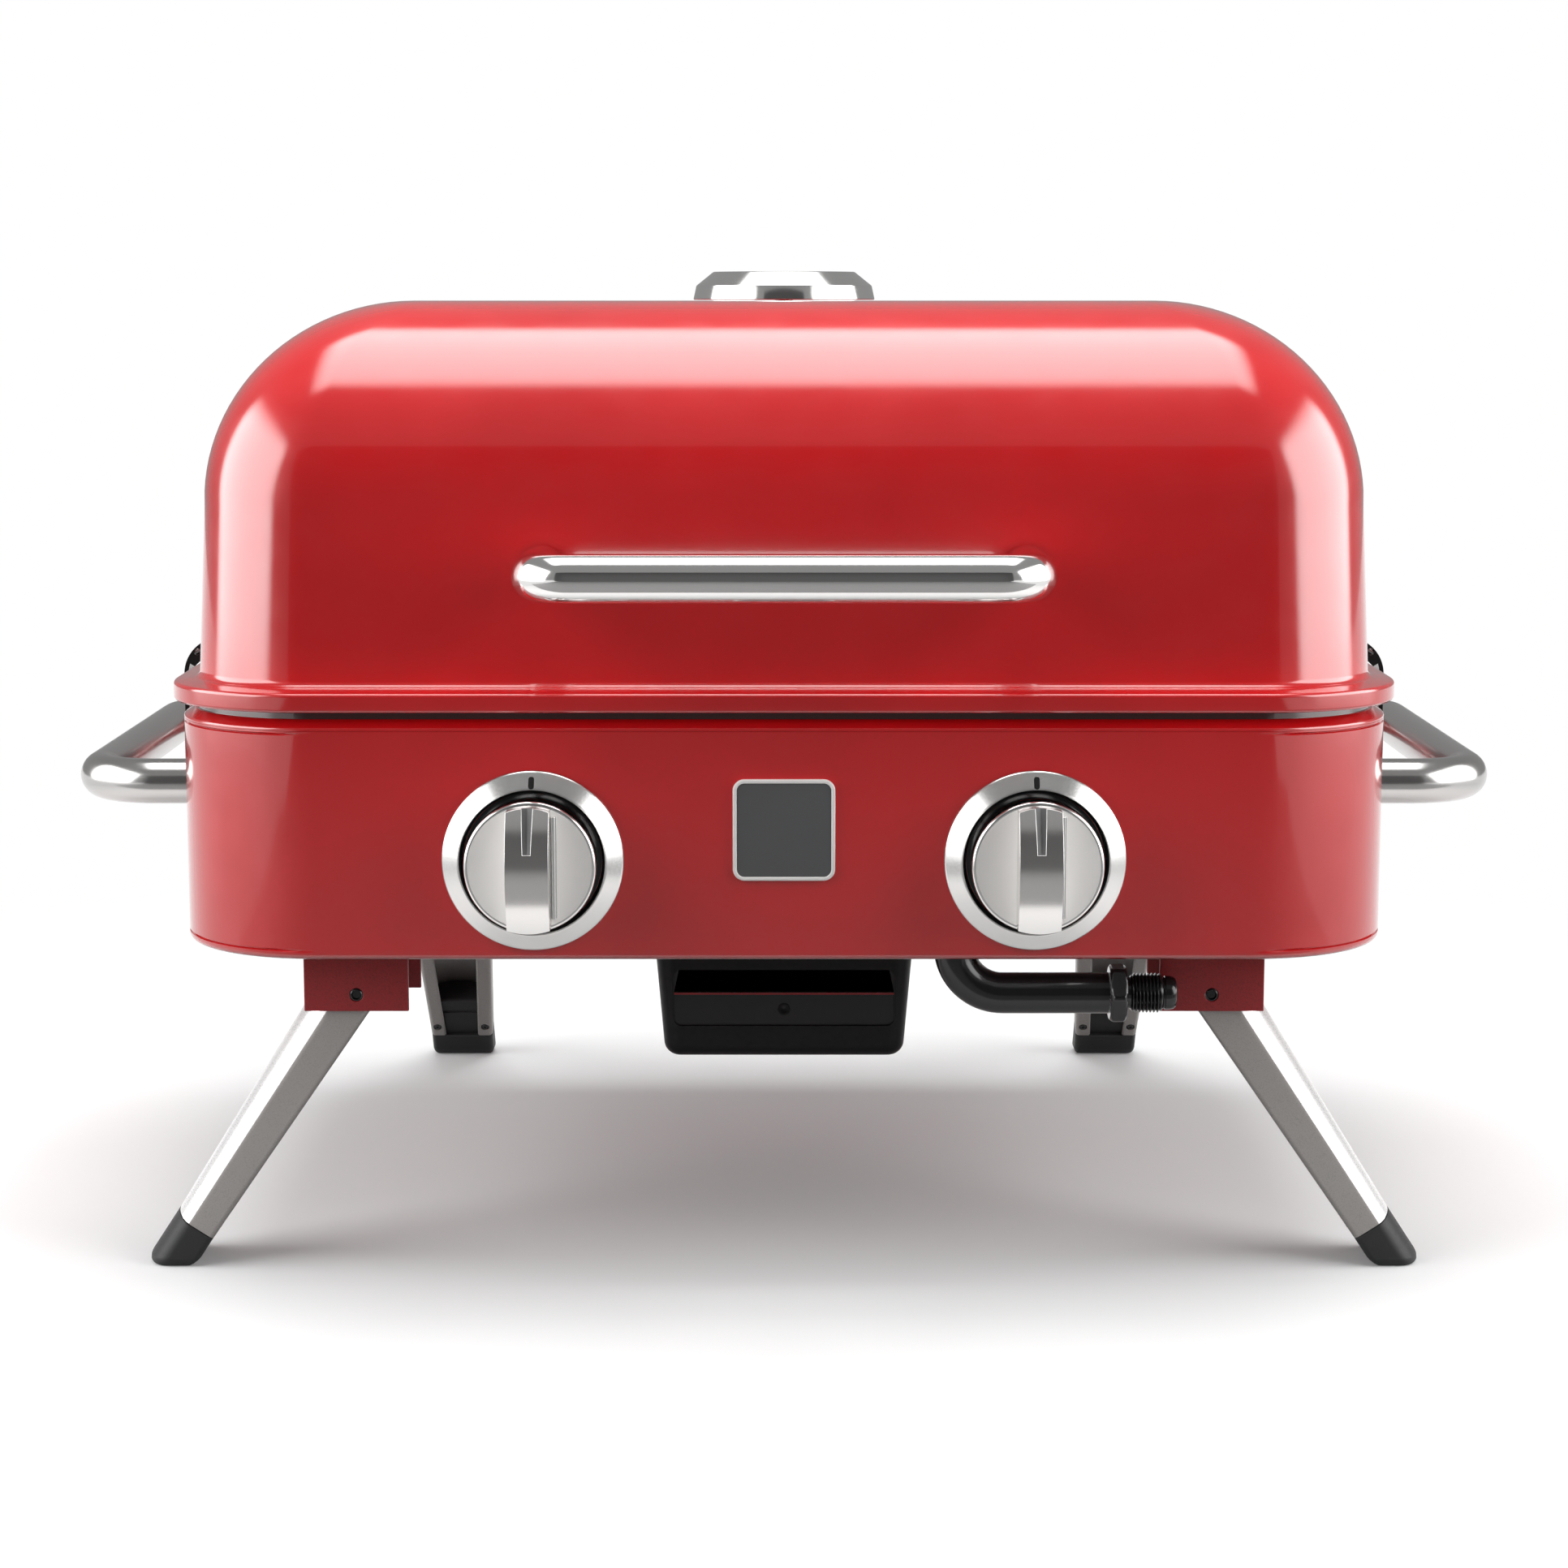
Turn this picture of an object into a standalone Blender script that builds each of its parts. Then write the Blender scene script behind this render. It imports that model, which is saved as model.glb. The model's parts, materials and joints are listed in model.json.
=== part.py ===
"""A portable tabletop gas grill: a deep-drawn lid and tub, two burners, knobs, folding legs, a grease cup.

Lengths are in metres. X runs to the grill's right, Y to its back and Z up. The pieces are made round the
middle of the tub, and the empty at the end moves them so that the origin is under the middle of the whole.
"""

import math

import bmesh
import bpy
from mathutils import Matrix, Vector

# Gaps between neighbours
GAP = 0.0003
SHEET_CUT = 0.020
FLOOR_CUT = 0.030

# Tub
BODY_WIDTH = 0.510
BODY_DEPTH = 0.385
BODY_CORNER = 0.062
BODY_BOTTOM = 0.141
BODY_TOP = 0.236
BODY_WALL = 0.0012
BODY_EDGE = 0.006
RIM_WIDTH = 0.005

# Bowl
NECK_INSET = 0.0055
NECK_TOP = 0.2437
BOWL_WALL = 0.0012
BOWL_LIP = 0.0012
LEDGE_TOP = 0.232
LEDGE_INSET_X = 0.021
LEDGE_INSET_Y = 0.0445
LEDGE_CORNER = 0.040
WAIST_CORNER = 0.038
FLOOR_CORNER = 0.036
BOWL_WAIST = 0.190
BOWL_FLOOR = 0.166
BOWL_FALL = 0.016
BOWL_SUMP = 0.030
BOWL_BACK = 0.012
BOWL_TAPER = 0.018
DRIP_RADIUS = 0.012
DRIP_Y = -0.036

# Lid
FLANGE_REACH = 0.0035
FLANGE_HEIGHT = 0.0068
FLANGE_EDGE = 0.0016
LID_HEIGHT = 0.166
LID_WALL = 0.0012
LID_SETBACK = 0.0077
LID_DRAFT = 0.0033
LID_ROUND = 0.084
LID_HANDLE_LENGTH = 0.217
LID_HANDLE_TUBE = 0.020
LID_HANDLE_REACH = 0.051
LID_HANDLE_Z = 0.302
LID_HANDLE_BEND = 0.025
HINGE_X = 0.150
HINGE_WIDTH = 0.040
HINGE_AXIS_OUT = 0.012
HINGE_AXIS_UP = 0.011
HINGE_RADIUS = 0.005
HINGE_PIN = 0.0022
HINGE_PIN_SHORT = 0.004
HINGE_SHEET = 0.002
HINGE_KNUCKLE = 0.009
HINGE_DROP = 0.031
HINGE_RISE = 0.026
HINGE_ROOT = 0.006

# Thermometer
GAUGE_RADIUS = 0.0415
GAUGE_HEIGHT = 0.013
GAUGE_WINDOW = 0.031
GAUGE_BORE = 0.032
GAUGE_LIP = 0.004
GAUGE_RECESS = 0.0016
GAUGE_PROBE = 0.030
GAUGE_NUT = 0.005
NEEDLE_LENGTH = 0.026
NEEDLE_HALF = 0.0016
NEEDLE_HUB = 0.0010
NEEDLE_STEP = 0.0001
STEM_OVER_LID = 0.003
GAUGE_DRAFT = 0.0015
GAUGE_SLOPE = 0.006
GAUGE_STEM = 0.004
DIAL_SHEET = 0.0015
LENS_SHEET = 0.0018

# Controls
KNOB_X = 0.103
KNOB_Z = 0.183
BEZEL_RADIUS = 0.0374
BEZEL_INNER = 0.0291
BEZEL_HEIGHT = 0.007
KNOB_RADIUS = 0.0269
KNOB_BACK = 0.008
KNOB_FACE = 0.019
KNOB_TOP = 0.036
KNOB_CROWN = 0.008
KNOB_BAR_WIDTH = 0.0175
KNOB_BAR_LENGTH = 0.0515
KNOB_BAR_ROOT = 0.006
KNOB_EDGE = 0.001
STEM_RADIUS = 0.004
STEM_IN_VALVE = 0.025
STEM_IN_KNOB = 0.008
PUSH_TRAVEL = 0.003
SEAT_SHEET = 0.0009
VALVE_WIDTH = 0.022
VALVE_DEPTH = 0.036
VALVE_NOSE = 0.007
VALVE_NOSE_OUT = 0.0035
VALVE_HEIGHT = 0.030
VALVE_SPARE = 0.002
BADGE_SIZE = 0.042
BADGE_CORNER = 0.0048
BADGE_SHEET = 0.0015
BADGE_Z = 0.1955

# Gas line
MANIFOLD_RADIUS = 0.006
MANIFOLD_PAST_VALVE = 0.015
MANIFOLD_BOSS = 0.008
INLET_X = 0.071
INLET_SET_IN = 0.012
INLET_RADIUS = 0.0088
INLET_Z = 0.125
INLET_BEND = 0.020
INLET_PLAY = 0.0013
FITTING_START = 0.135
HEX_LENGTH = 0.007
HEX_FLATS = 0.0225
NECK_LENGTH = 0.002
THREAD_LENGTH = 0.013
THREAD_RADIUS = 0.0083
NOSE_LENGTH = 0.006
NOSE_END = 0.0055
GAS_BORE_DEPTH = 0.015
GAS_BORE = 0.003

# Burners
BURNER_RADIUS = 0.011
BURNER_BORE = 0.008
BURNER_SHORT = 0.024
BURNER_EDGE = 0.004
MIXER_LENGTH = 0.030
TENT_HALF = 0.035
TENT_RISE = 0.016
TENT_SHEET = 0.002
TENT_SET_IN = 0.038
TENT_FOOT = 0.002
IGNITER_OFFSET = 0.016
IGNITER_Y = -0.060
IGNITER_RADIUS = 0.003
IGNITER_COLLAR = 0.002
IGNITER_UNDER = 0.009
SPARK_RISE = 0.004
SPARK_RADIUS = 0.0008
GRATE_SEAT = 0.004
GRATE_SPLIT = 0.003
GRATE_BARS = 12
GRATE_BAR = 0.006
GRATE_RIM = 0.007
GRATE_THICK = 0.008

# Carrying handles
HANDLE_TUBE = 0.020
HANDLE_REACH = 0.055
HANDLE_LENGTH = 0.246
HANDLE_Z = 0.204
HANDLE_BEND = 0.028

# Legs
PIVOT_Z = 0.121
SPLAY = math.radians(33.3)
FRONT_PIVOT_IN = 0.075
FRONT_SET_IN = 0.0495
REAR_PIVOT_IN = 0.079
REAR_SET_IN = 0.027
BRACKET_WIDTH = 0.044
BRACKET_SPACING = 0.045
BRACKET_SHEET = 0.002
BRACKET_DROP = 0.007
PIN_RADIUS = 0.0038
PIN_HEAD = 0.0046
PIN_HEAD_LENGTH = 0.0014
LEG_LENGTH = 0.126
LEG_ABOVE_PIVOT = 0.008
LEG_WALL = 0.0018
LEG_LIP = 0.008
LEG_TOP = {"inner": -0.0086, "edge": 0.0048, "apex": 0.0169}
LEG_END = {"inner": -0.0056, "edge": 0.0052, "apex": 0.0136, "half": 0.0166}
PLUG_LENGTH = 0.026
FOOT_EDGE = 0.004
FOOT_SOFT = 0.003

# Grease cup
CUP_WIDTH = 0.114
CUP_DEPTH = 0.152
CUP_BOTTOM = 0.080
CUP_TOP = 0.136
CUP_FRONT = 0.080
CUP_TAPER = 0.004
CUP_WALL = 0.0015
CUP_CORNER = 0.006
CUP_RIM = 0.007
CUP_PLAY = 0.0015
RAIL_SHEET = 0.0015
HANGER_WIDTH = 0.171
APRON_BOTTOM = 0.1205
WINDOW_IN = 0.008
WINDOW_FRONT = 0.010
WINDOW_BACK = 0.020
HANGER_PAST_CUP = 0.004

# Side latches
LATCH_PIVOT_OUT = 0.009
LATCH_PIVOT_Z = 0.212
LATCH_PIN = 0.002
LATCH_BARREL = 0.0045
LATCH_WIDTH = 0.0194
LATCH_SHEET = 0.002
LATCH_OUT = 0.012
LATCH_ARC = 0.0155
LATCH_TIP_CLEAR = 0.002
LATCH_PLATE_DOWN = 0.016
LATCH_PLATE_UP = 0.014
LATCH_EAR_HALF = 0.007
LATCH_EAR_NOSE = 0.005
LATCH_ROOT = (0.002, -0.003)
LATCH_ELBOW = (0.003, 0.002)
LATCH_STRAIGHT = 0.010

# Smoothness
CORNER_STEPS = 6
ROUND_STEPS = 6
TURN_STEPS = 24
PIN_STEPS = 12

COLOURS = {
    "red": ((0.45, 0.015, 0.02), 0.0, 0.25),
    "chrome": ((0.80, 0.80, 0.80), 1.0, 0.08),
    "satin": ((0.62, 0.61, 0.60), 1.0, 0.30),
    "black": ((0.012, 0.012, 0.012), 0.0, 0.30),
    "iron": ((0.03, 0.03, 0.03), 0.6, 0.60),
    "brass": ((0.60, 0.42, 0.16), 1.0, 0.35),
    "steel": ((0.45, 0.45, 0.45), 1.0, 0.35),
    "white": ((0.75, 0.74, 0.70), 0.0, 0.45),
    "glass": ((0.85, 0.90, 0.90), 0.0, 0.05),
    "rubber": ((0.02, 0.02, 0.02), 0.0, 0.75),
}

# Sizes that follow from the ones above
HALF_WIDTH = BODY_WIDTH / 2
HALF_DEPTH = BODY_DEPTH / 2
FRONT = -HALF_DEPTH
LEDGE_X = HALF_WIDTH - LEDGE_INSET_X
LEDGE_Y = HALF_DEPTH - LEDGE_INSET_Y
GRATE_X = LEDGE_X + GRATE_SEAT
GRATE_Y = LEDGE_Y + GRATE_SEAT
BURNER_END = BOWL_BACK + LEDGE_Y - BURNER_SHORT
TENT_START = TENT_SET_IN - LEDGE_Y
TENT_END = BURNER_END - TENT_SHEET / 2
MANIFOLD_LENGTH = 2 * (KNOB_X + MANIFOLD_PAST_VALVE)
FRONT_PIVOT_X = HALF_WIDTH - FRONT_PIVOT_IN
REAR_PIVOT_X = HALF_WIDTH - REAR_PIVOT_IN
LID_BOTTOM = NECK_TOP + GAP
LID_TOP = LID_BOTTOM + LID_HEIGHT
LID_SHOULDER = LID_TOP - LID_ROUND
HINGE_Y = HALF_DEPTH + HINGE_AXIS_OUT
HINGE_Z = BODY_TOP + HINGE_AXIS_UP
BURNER_TOP = KNOB_Z + BURNER_RADIUS
VALVE_BACK = FRONT + BODY_WALL + GAP + VALVE_DEPTH
VALVE_BOTTOM = KNOB_Z - VALVE_HEIGHT / 2 - 0.0017
MANIFOLD_Z = VALVE_BOTTOM - GAP - MANIFOLD_RADIUS
INLET_Y = FRONT + INLET_SET_IN
PIN_HOLE = PIN_RADIUS + GAP
LEG_HALF = BRACKET_SPACING / 2 - GAP
FOOT_SIN = math.sin(SPLAY)
FOOT_COS = math.cos(SPLAY)
FRONT_REACH = HALF_DEPTH + LID_HANDLE_REACH
REAR_FOOT = HALF_DEPTH - REAR_SET_IN + ((PIVOT_Z - FOOT_EDGE) * FOOT_SIN + LEG_END["apex"]) / FOOT_COS
GRILL_Y = (FRONT_REACH - REAR_FOOT) / 2


def clear_scene():
    """Removes whatever the scene holds."""
    for thing in list(bpy.data.objects):
        bpy.data.objects.remove(thing, do_unlink=True)


def between(low, high, part):
    """The value that lies this part of the way from low to high."""
    return low + (high - low) * part


def finish(thing, colour):
    """Gives an object a material of its own."""
    base, metallic, roughness = COLOURS[colour]
    material = bpy.data.materials.new(thing.name)
    material.use_nodes = True
    shader = material.node_tree.nodes["Principled BSDF"]
    shader.inputs["Base Color"].default_value = (*base, 1.0)
    shader.inputs["Metallic"].default_value = metallic
    shader.inputs["Roughness"].default_value = roughness
    thing.data.materials.clear()
    thing.data.materials.append(material)


def smooth(thing):
    """Shades round faces smooth and keeps the folds sharp."""
    thing.data.shade_smooth()
    thing.data.set_sharp_from_angle(angle=math.radians(35))


def place(thing, colour=None, at=(0, 0, 0), turn=(0, 0, 0)):
    """Sets a finished object's place, and its material if it has none yet."""
    thing.location = at
    thing.rotation_euler = turn
    if thing.type == "MESH":
        smooth(thing)
    if colour:
        finish(thing, colour)
    return thing


def skin(name, rings, closed=False):
    """One solid through rings of equally many points. Its ends are capped, or joined where it is closed."""
    shape = bmesh.new()
    rows = [[shape.verts.new(point) for point in ring] for ring in rings]
    pairs = list(zip(rows, rows[1:]))
    if closed:
        pairs.append((rows[-1], rows[0]))
    else:
        shape.faces.new(rows[0])
        shape.faces.new(rows[-1])
    for low, high in pairs:
        for i in range(len(low)):
            j = (i + 1) % len(low)
            shape.faces.new((low[i], low[j], high[j], high[i]))
    bmesh.ops.recalc_face_normals(shape, faces=shape.faces)
    mesh = bpy.data.meshes.new(name)
    shape.to_mesh(mesh)
    shape.free()
    thing = bpy.data.objects.new(name, mesh)
    bpy.context.scene.collection.objects.link(thing)
    return thing


def rounded(half_x, half_y, radius, z, centre_y=0.0, steps=CORNER_STEPS):
    """The points of a level rounded rectangle."""
    points = []
    for corner in range(4):
        side_x = (1, -1, -1, 1)[corner]
        side_y = (1, 1, -1, -1)[corner]
        for step in range(steps + 1):
            angle = math.radians(90) * (corner + step / steps)
            x = side_x * (half_x - radius) + radius * math.cos(angle)
            y = side_y * (half_y - radius) + radius * math.sin(angle)
            points.append((x, y + centre_y, z))
    return points


def circle(radius, z, steps=TURN_STEPS):
    """The points of a level circle."""
    angles = [math.tau * i / steps for i in range(steps)]
    return [(radius * math.cos(a), radius * math.sin(a), z) for a in angles]


def turned(name, profile, steps=TURN_STEPS, closed=False):
    """A turned solid about Z from (radius, height) pairs."""
    return skin(name, [circle(r, z, steps) for r, z in profile], closed)


def prism(name, outline, start, end):
    """A flat outline in X and Z, extruded along Y from start to end."""
    return skin(name, [[(x, y, z) for x, z in outline] for y in (start, end)])


def box(name, low, high):
    """A rectangular block between two corners."""
    outline = [(low[0], low[2]), (high[0], low[2]), (high[0], high[2]), (low[0], high[2])]
    return prism(name, outline, low[1], high[1])


def boolean(target, tool, operation):
    """Applies one exact Boolean to the target and removes the tool."""
    modifier = target.modifiers.new(operation, "BOOLEAN")
    modifier.object = tool
    modifier.operation = operation
    modifier.solver = "EXACT"
    graph = bpy.context.evaluated_depsgraph_get()
    plain = target.data
    result = bpy.data.meshes.new_from_object(target.evaluated_get(graph))
    target.modifiers.clear()
    target.data = result
    bpy.data.meshes.remove(plain)
    bpy.data.objects.remove(tool, do_unlink=True)


def moved(thing, at=(0, 0, 0), turn=(0, 0, 0)):
    """Moves an object's points, so that its own frame stays that of its neighbours."""
    about_x, about_y, about_z = (Matrix.Rotation(angle, 4, axis) for angle, axis in zip(turn, "XYZ"))
    turning = about_z @ about_y @ about_x
    thing.data.transform(Matrix.Translation(at) @ turning)
    return thing


def drill(target, radius, at, towards="Z", length=0.2, steps=PIN_STEPS):
    """Cuts a round hole centred at a point, along X, Y or Z."""
    tool = turned("drill", [(radius, -length / 2), (radius, length / 2)], steps)
    turn = {"X": (0, math.pi / 2, 0), "Y": (math.pi / 2, 0, 0), "Z": (0, 0, 0)}[towards]
    boolean(target, moved(tool, at, turn), "DIFFERENCE")


def fuse(target, *tools):
    """Joins overlapping solids into the target."""
    for tool in tools:
        boolean(target, tool, "UNION")


def bent_path(corners, bend, steps=ROUND_STEPS):
    """A path through corners, with each inner corner rounded to the bend radius."""
    corners = [Vector(corner) for corner in corners]
    path = [corners[0]]
    for before, corner, after in zip(corners, corners[1:], corners[2:]):
        back = (before - corner).normalized()
        ahead = (after - corner).normalized()
        half = back.angle(ahead) / 2
        centre = corner + (back + ahead).normalized() * bend / math.sin(half)
        start = corner + back * bend / math.tan(half) - centre
        end = corner + ahead * bend / math.tan(half) - centre
        turn = start.angle(end)
        for i in range(steps + 1):
            part = i / steps
            weight = math.sin((1 - part) * turn), math.sin(part * turn)
            path.append(centre + (start * weight[0] + end * weight[1]) / math.sin(turn))
    path.append(corners[-1])
    return path


def tube(name, corners, radius, bend):
    """A solid round bar along a bent path, as a curve."""
    curve = bpy.data.curves.new(name, "CURVE")
    curve.dimensions = "3D"
    curve.bevel_depth = radius
    curve.bevel_resolution = 5
    curve.use_fill_caps = True
    path = bent_path(corners, bend)
    spline = curve.splines.new("POLY")
    spline.points.add(len(path) - 1)
    for point, where in zip(spline.points, path):
        point.co = (*where, 1.0)
    thing = bpy.data.objects.new(name, curve)
    bpy.context.scene.collection.objects.link(thing)
    return thing


def slotted(name, xs, ys, is_solid, bottom, top):
    """A flat plate of rectangular cells, with holes right through where is_solid says no."""
    shape = bmesh.new()
    verts = {}

    def vert(i, j, z):
        if (i, j, z) not in verts:
            verts[i, j, z] = shape.verts.new((xs[i], ys[j], z))
        return verts[i, j, z]

    def filled(i, j):
        return 0 <= i < len(xs) - 1 and 0 <= j < len(ys) - 1 and is_solid(i, j)

    for i in range(len(xs) - 1):
        for j in range(len(ys) - 1):
            if not filled(i, j):
                continue
            corners = ((i, j), (i + 1, j), (i + 1, j + 1), (i, j + 1))
            beyond = ((i, j - 1), (i + 1, j), (i, j + 1), (i - 1, j))
            shape.faces.new([vert(a, b, top) for a, b in corners])
            shape.faces.new([vert(a, b, bottom) for a, b in reversed(corners)])
            for k in range(4):
                if not filled(*beyond[k]):
                    a, b = corners[k], corners[(k + 1) % 4]
                    shape.faces.new((vert(*a, bottom), vert(*b, bottom), vert(*b, top), vert(*a, top)))
    mesh = bpy.data.meshes.new(name)
    shape.to_mesh(mesh)
    shape.free()
    thing = bpy.data.objects.new(name, mesh)
    bpy.context.scene.collection.objects.link(thing)
    return thing


def strap(path, thickness):
    """The outline of a bent strip of sheet along a path in X and Z, from the path to its left side."""
    points = [Vector(point) for point in path]
    left = []
    for i, point in enumerate(points):
        along = (points[min(i + 1, len(points) - 1)] - points[max(i - 1, 0)]).normalized()
        left.append(point + Vector((-along.y, along.x)) * thickness)
    return points + left[::-1]


FACE_FRONT = (math.pi / 2, 0, 0)
SIDES = {"left": -1, "right": 1}


def housing_shell():
    """The tub: a flat floor, straight walls and a rim turned in at the top."""

    def row(inset, z):
        return rounded(HALF_WIDTH - inset, HALF_DEPTH - inset, BODY_CORNER - inset, z)

    edge = BODY_EDGE
    floor_top = BODY_BOTTOM + BODY_WALL
    rim_under = BODY_TOP - BODY_WALL
    shell = skin("housing_shell", [
        row(edge, BODY_BOTTOM),
        row(edge * 0.3, BODY_BOTTOM + edge * 0.3),
        row(0, BODY_BOTTOM + edge),
        row(0, BODY_TOP - BODY_WALL),
        row(BODY_WALL, BODY_TOP),
        row(RIM_WIDTH, BODY_TOP),
        row(RIM_WIDTH, rim_under),
        row(BODY_WALL, rim_under),
        row(BODY_WALL, BODY_BOTTOM + edge),
        row(edge, floor_top),
    ])
    for side in SIDES.values():
        drill(shell, VALVE_NOSE + GAP, (side * KNOB_X, FRONT, KNOB_Z), "Y", SHEET_CUT, TURN_STEPS)
    drill(shell, INLET_RADIUS + INLET_PLAY, (INLET_X, INLET_Y, BODY_BOTTOM), "Z", SHEET_CUT, TURN_STEPS)
    drill(shell, 2 * DRIP_RADIUS, (0, DRIP_Y, BODY_BOTTOM), "Z", SHEET_CUT, TURN_STEPS)
    return place(shell, "red")


def firebox_bowl():
    """The bowl that hangs in the tub: a neck under the lid, a ledge for the grates and a sloping floor."""
    neck_x = HALF_WIDTH - NECK_INSET
    neck_y = HALF_DEPTH - NECK_INSET
    neck_r = BODY_CORNER - NECK_INSET
    lip_x = HALF_WIDTH - BODY_WALL
    lip_y = HALF_DEPTH - BODY_WALL
    lip_r = BODY_CORNER - BODY_WALL
    lip_z = BODY_TOP + GAP
    wall = BOWL_WALL
    back = BOWL_BACK
    sump = BOWL_SUMP
    taper = BOWL_TAPER
    outer = [
        rounded(sump, sump, sump - wall, BOWL_FLOOR - BOWL_FALL, DRIP_Y),
        rounded(LEDGE_X - taper, LEDGE_Y - back, FLOOR_CORNER, BOWL_FLOOR, back),
        rounded(LEDGE_X - taper / 2, LEDGE_Y, WAIST_CORNER, BOWL_WAIST, back),
        rounded(LEDGE_X + wall, LEDGE_Y + wall, LEDGE_CORNER + wall, LEDGE_TOP - wall),
        rounded(neck_x, neck_y, neck_r, LEDGE_TOP - wall),
        rounded(neck_x, neck_y, neck_r, lip_z),
        rounded(lip_x, lip_y, lip_r, lip_z),
        rounded(lip_x, lip_y, lip_r, lip_z + BOWL_LIP),
        rounded(neck_x, neck_y, neck_r, lip_z + BOWL_LIP),
        rounded(neck_x, neck_y, neck_r, NECK_TOP),
    ]
    inner = [
        rounded(neck_x - wall, neck_y - wall, neck_r - wall, NECK_TOP),
        rounded(neck_x - wall, neck_y - wall, neck_r - wall, LEDGE_TOP),
        rounded(LEDGE_X, LEDGE_Y, LEDGE_CORNER, LEDGE_TOP),
        rounded(LEDGE_X - taper / 2 - wall, LEDGE_Y - wall, WAIST_CORNER - wall, BOWL_WAIST, back),
        rounded(LEDGE_X - taper - wall, LEDGE_Y - back - wall, FLOOR_CORNER - wall, BOWL_FLOOR + wall, back),
        rounded(sump - wall, sump - wall, sump - 2 * wall, BOWL_FLOOR - BOWL_FALL + wall, DRIP_Y),
    ]
    bowl = skin("firebox_bowl", outer + inner)
    drill(bowl, DRIP_RADIUS, (0, DRIP_Y, BOWL_FLOOR - BOWL_FALL), "Z", FLOOR_CUT, TURN_STEPS)
    for side in SIDES.values():
        drill(bowl, BURNER_RADIUS + GAP, (side * KNOB_X, -LEDGE_Y, KNOB_Z), "Y", 2 * FLOOR_CUT, TURN_STEPS)
        igniter_x = side * (KNOB_X - IGNITER_OFFSET)
        drill(bowl, IGNITER_RADIUS + GAP, (igniter_x, IGNITER_Y, BOWL_FLOOR), "Z", FLOOR_CUT)
    return place(bowl, "red")


def lid_shell():
    """The lid: a rolled flange, steep walls and a large rounding up to a flat top."""

    def row(inset, z):
        shrink = min(inset, LID_SETBACK + LID_DRAFT) + 0.45 * max(0, inset - LID_SETBACK - LID_DRAFT)
        reach = FLANGE_REACH - inset
        return rounded(HALF_WIDTH + reach, HALF_DEPTH + reach, BODY_CORNER - shrink, z)

    setback = LID_SETBACK + FLANGE_REACH
    shoulder = setback + LID_DRAFT
    edge = FLANGE_EDGE
    flange_top = LID_BOTTOM + FLANGE_HEIGHT
    angles = [math.radians(90) * i / ROUND_STEPS for i in range(ROUND_STEPS + 1)]
    dome = [(LID_ROUND * (1 - math.cos(a)), LID_ROUND * math.sin(a)) for a in angles]
    thin = LID_ROUND - LID_WALL
    hollow = [(LID_WALL + thin * (1 - math.cos(a)), thin * math.sin(a)) for a in angles]
    rows = [row(shoulder + inset, LID_SHOULDER + rise) for inset, rise in reversed(hollow)]
    rows += [
        row(setback + LID_WALL, flange_top + 2 * edge),
        row(setback + LID_WALL, LID_BOTTOM),
        row(edge, LID_BOTTOM),
        row(0, LID_BOTTOM + edge),
        row(0, flange_top - edge),
        row(edge, flange_top),
        row(setback - edge, flange_top + edge / 2),
        row(setback, flange_top + 2 * edge),
    ]
    rows += [row(shoulder + inset, LID_SHOULDER + rise) for inset, rise in dome]
    lid = skin("lid_shell", rows)
    drill(lid, GAUGE_STEM + GAP, (0, 0, LID_TOP), "Z", SHEET_CUT)
    return place(lid, "red")


def lid_wall_y(z):
    """How far the lid's outer wall lies from the middle, front and back, at a height on its steep part."""
    low = LID_BOTTOM + FLANGE_HEIGHT + 2 * FLANGE_EDGE
    return HALF_DEPTH - LID_SETBACK - LID_DRAFT * (z - low) / (LID_SHOULDER - low)


def lid_handle():
    """The round bar handle on the lid's front."""
    radius = LID_HANDLE_TUBE / 2
    x = LID_HANDLE_LENGTH / 2 - radius
    wall = -lid_wall_y(LID_HANDLE_Z - radius) - GAP
    front = FRONT - LID_HANDLE_REACH + radius
    corners = [(across, y, LID_HANDLE_Z) for across, y in ((-x, wall), (-x, front), (x, front), (x, wall))]
    return place(tube("lid_handle", corners, radius, LID_HANDLE_BEND), "chrome")


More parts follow.
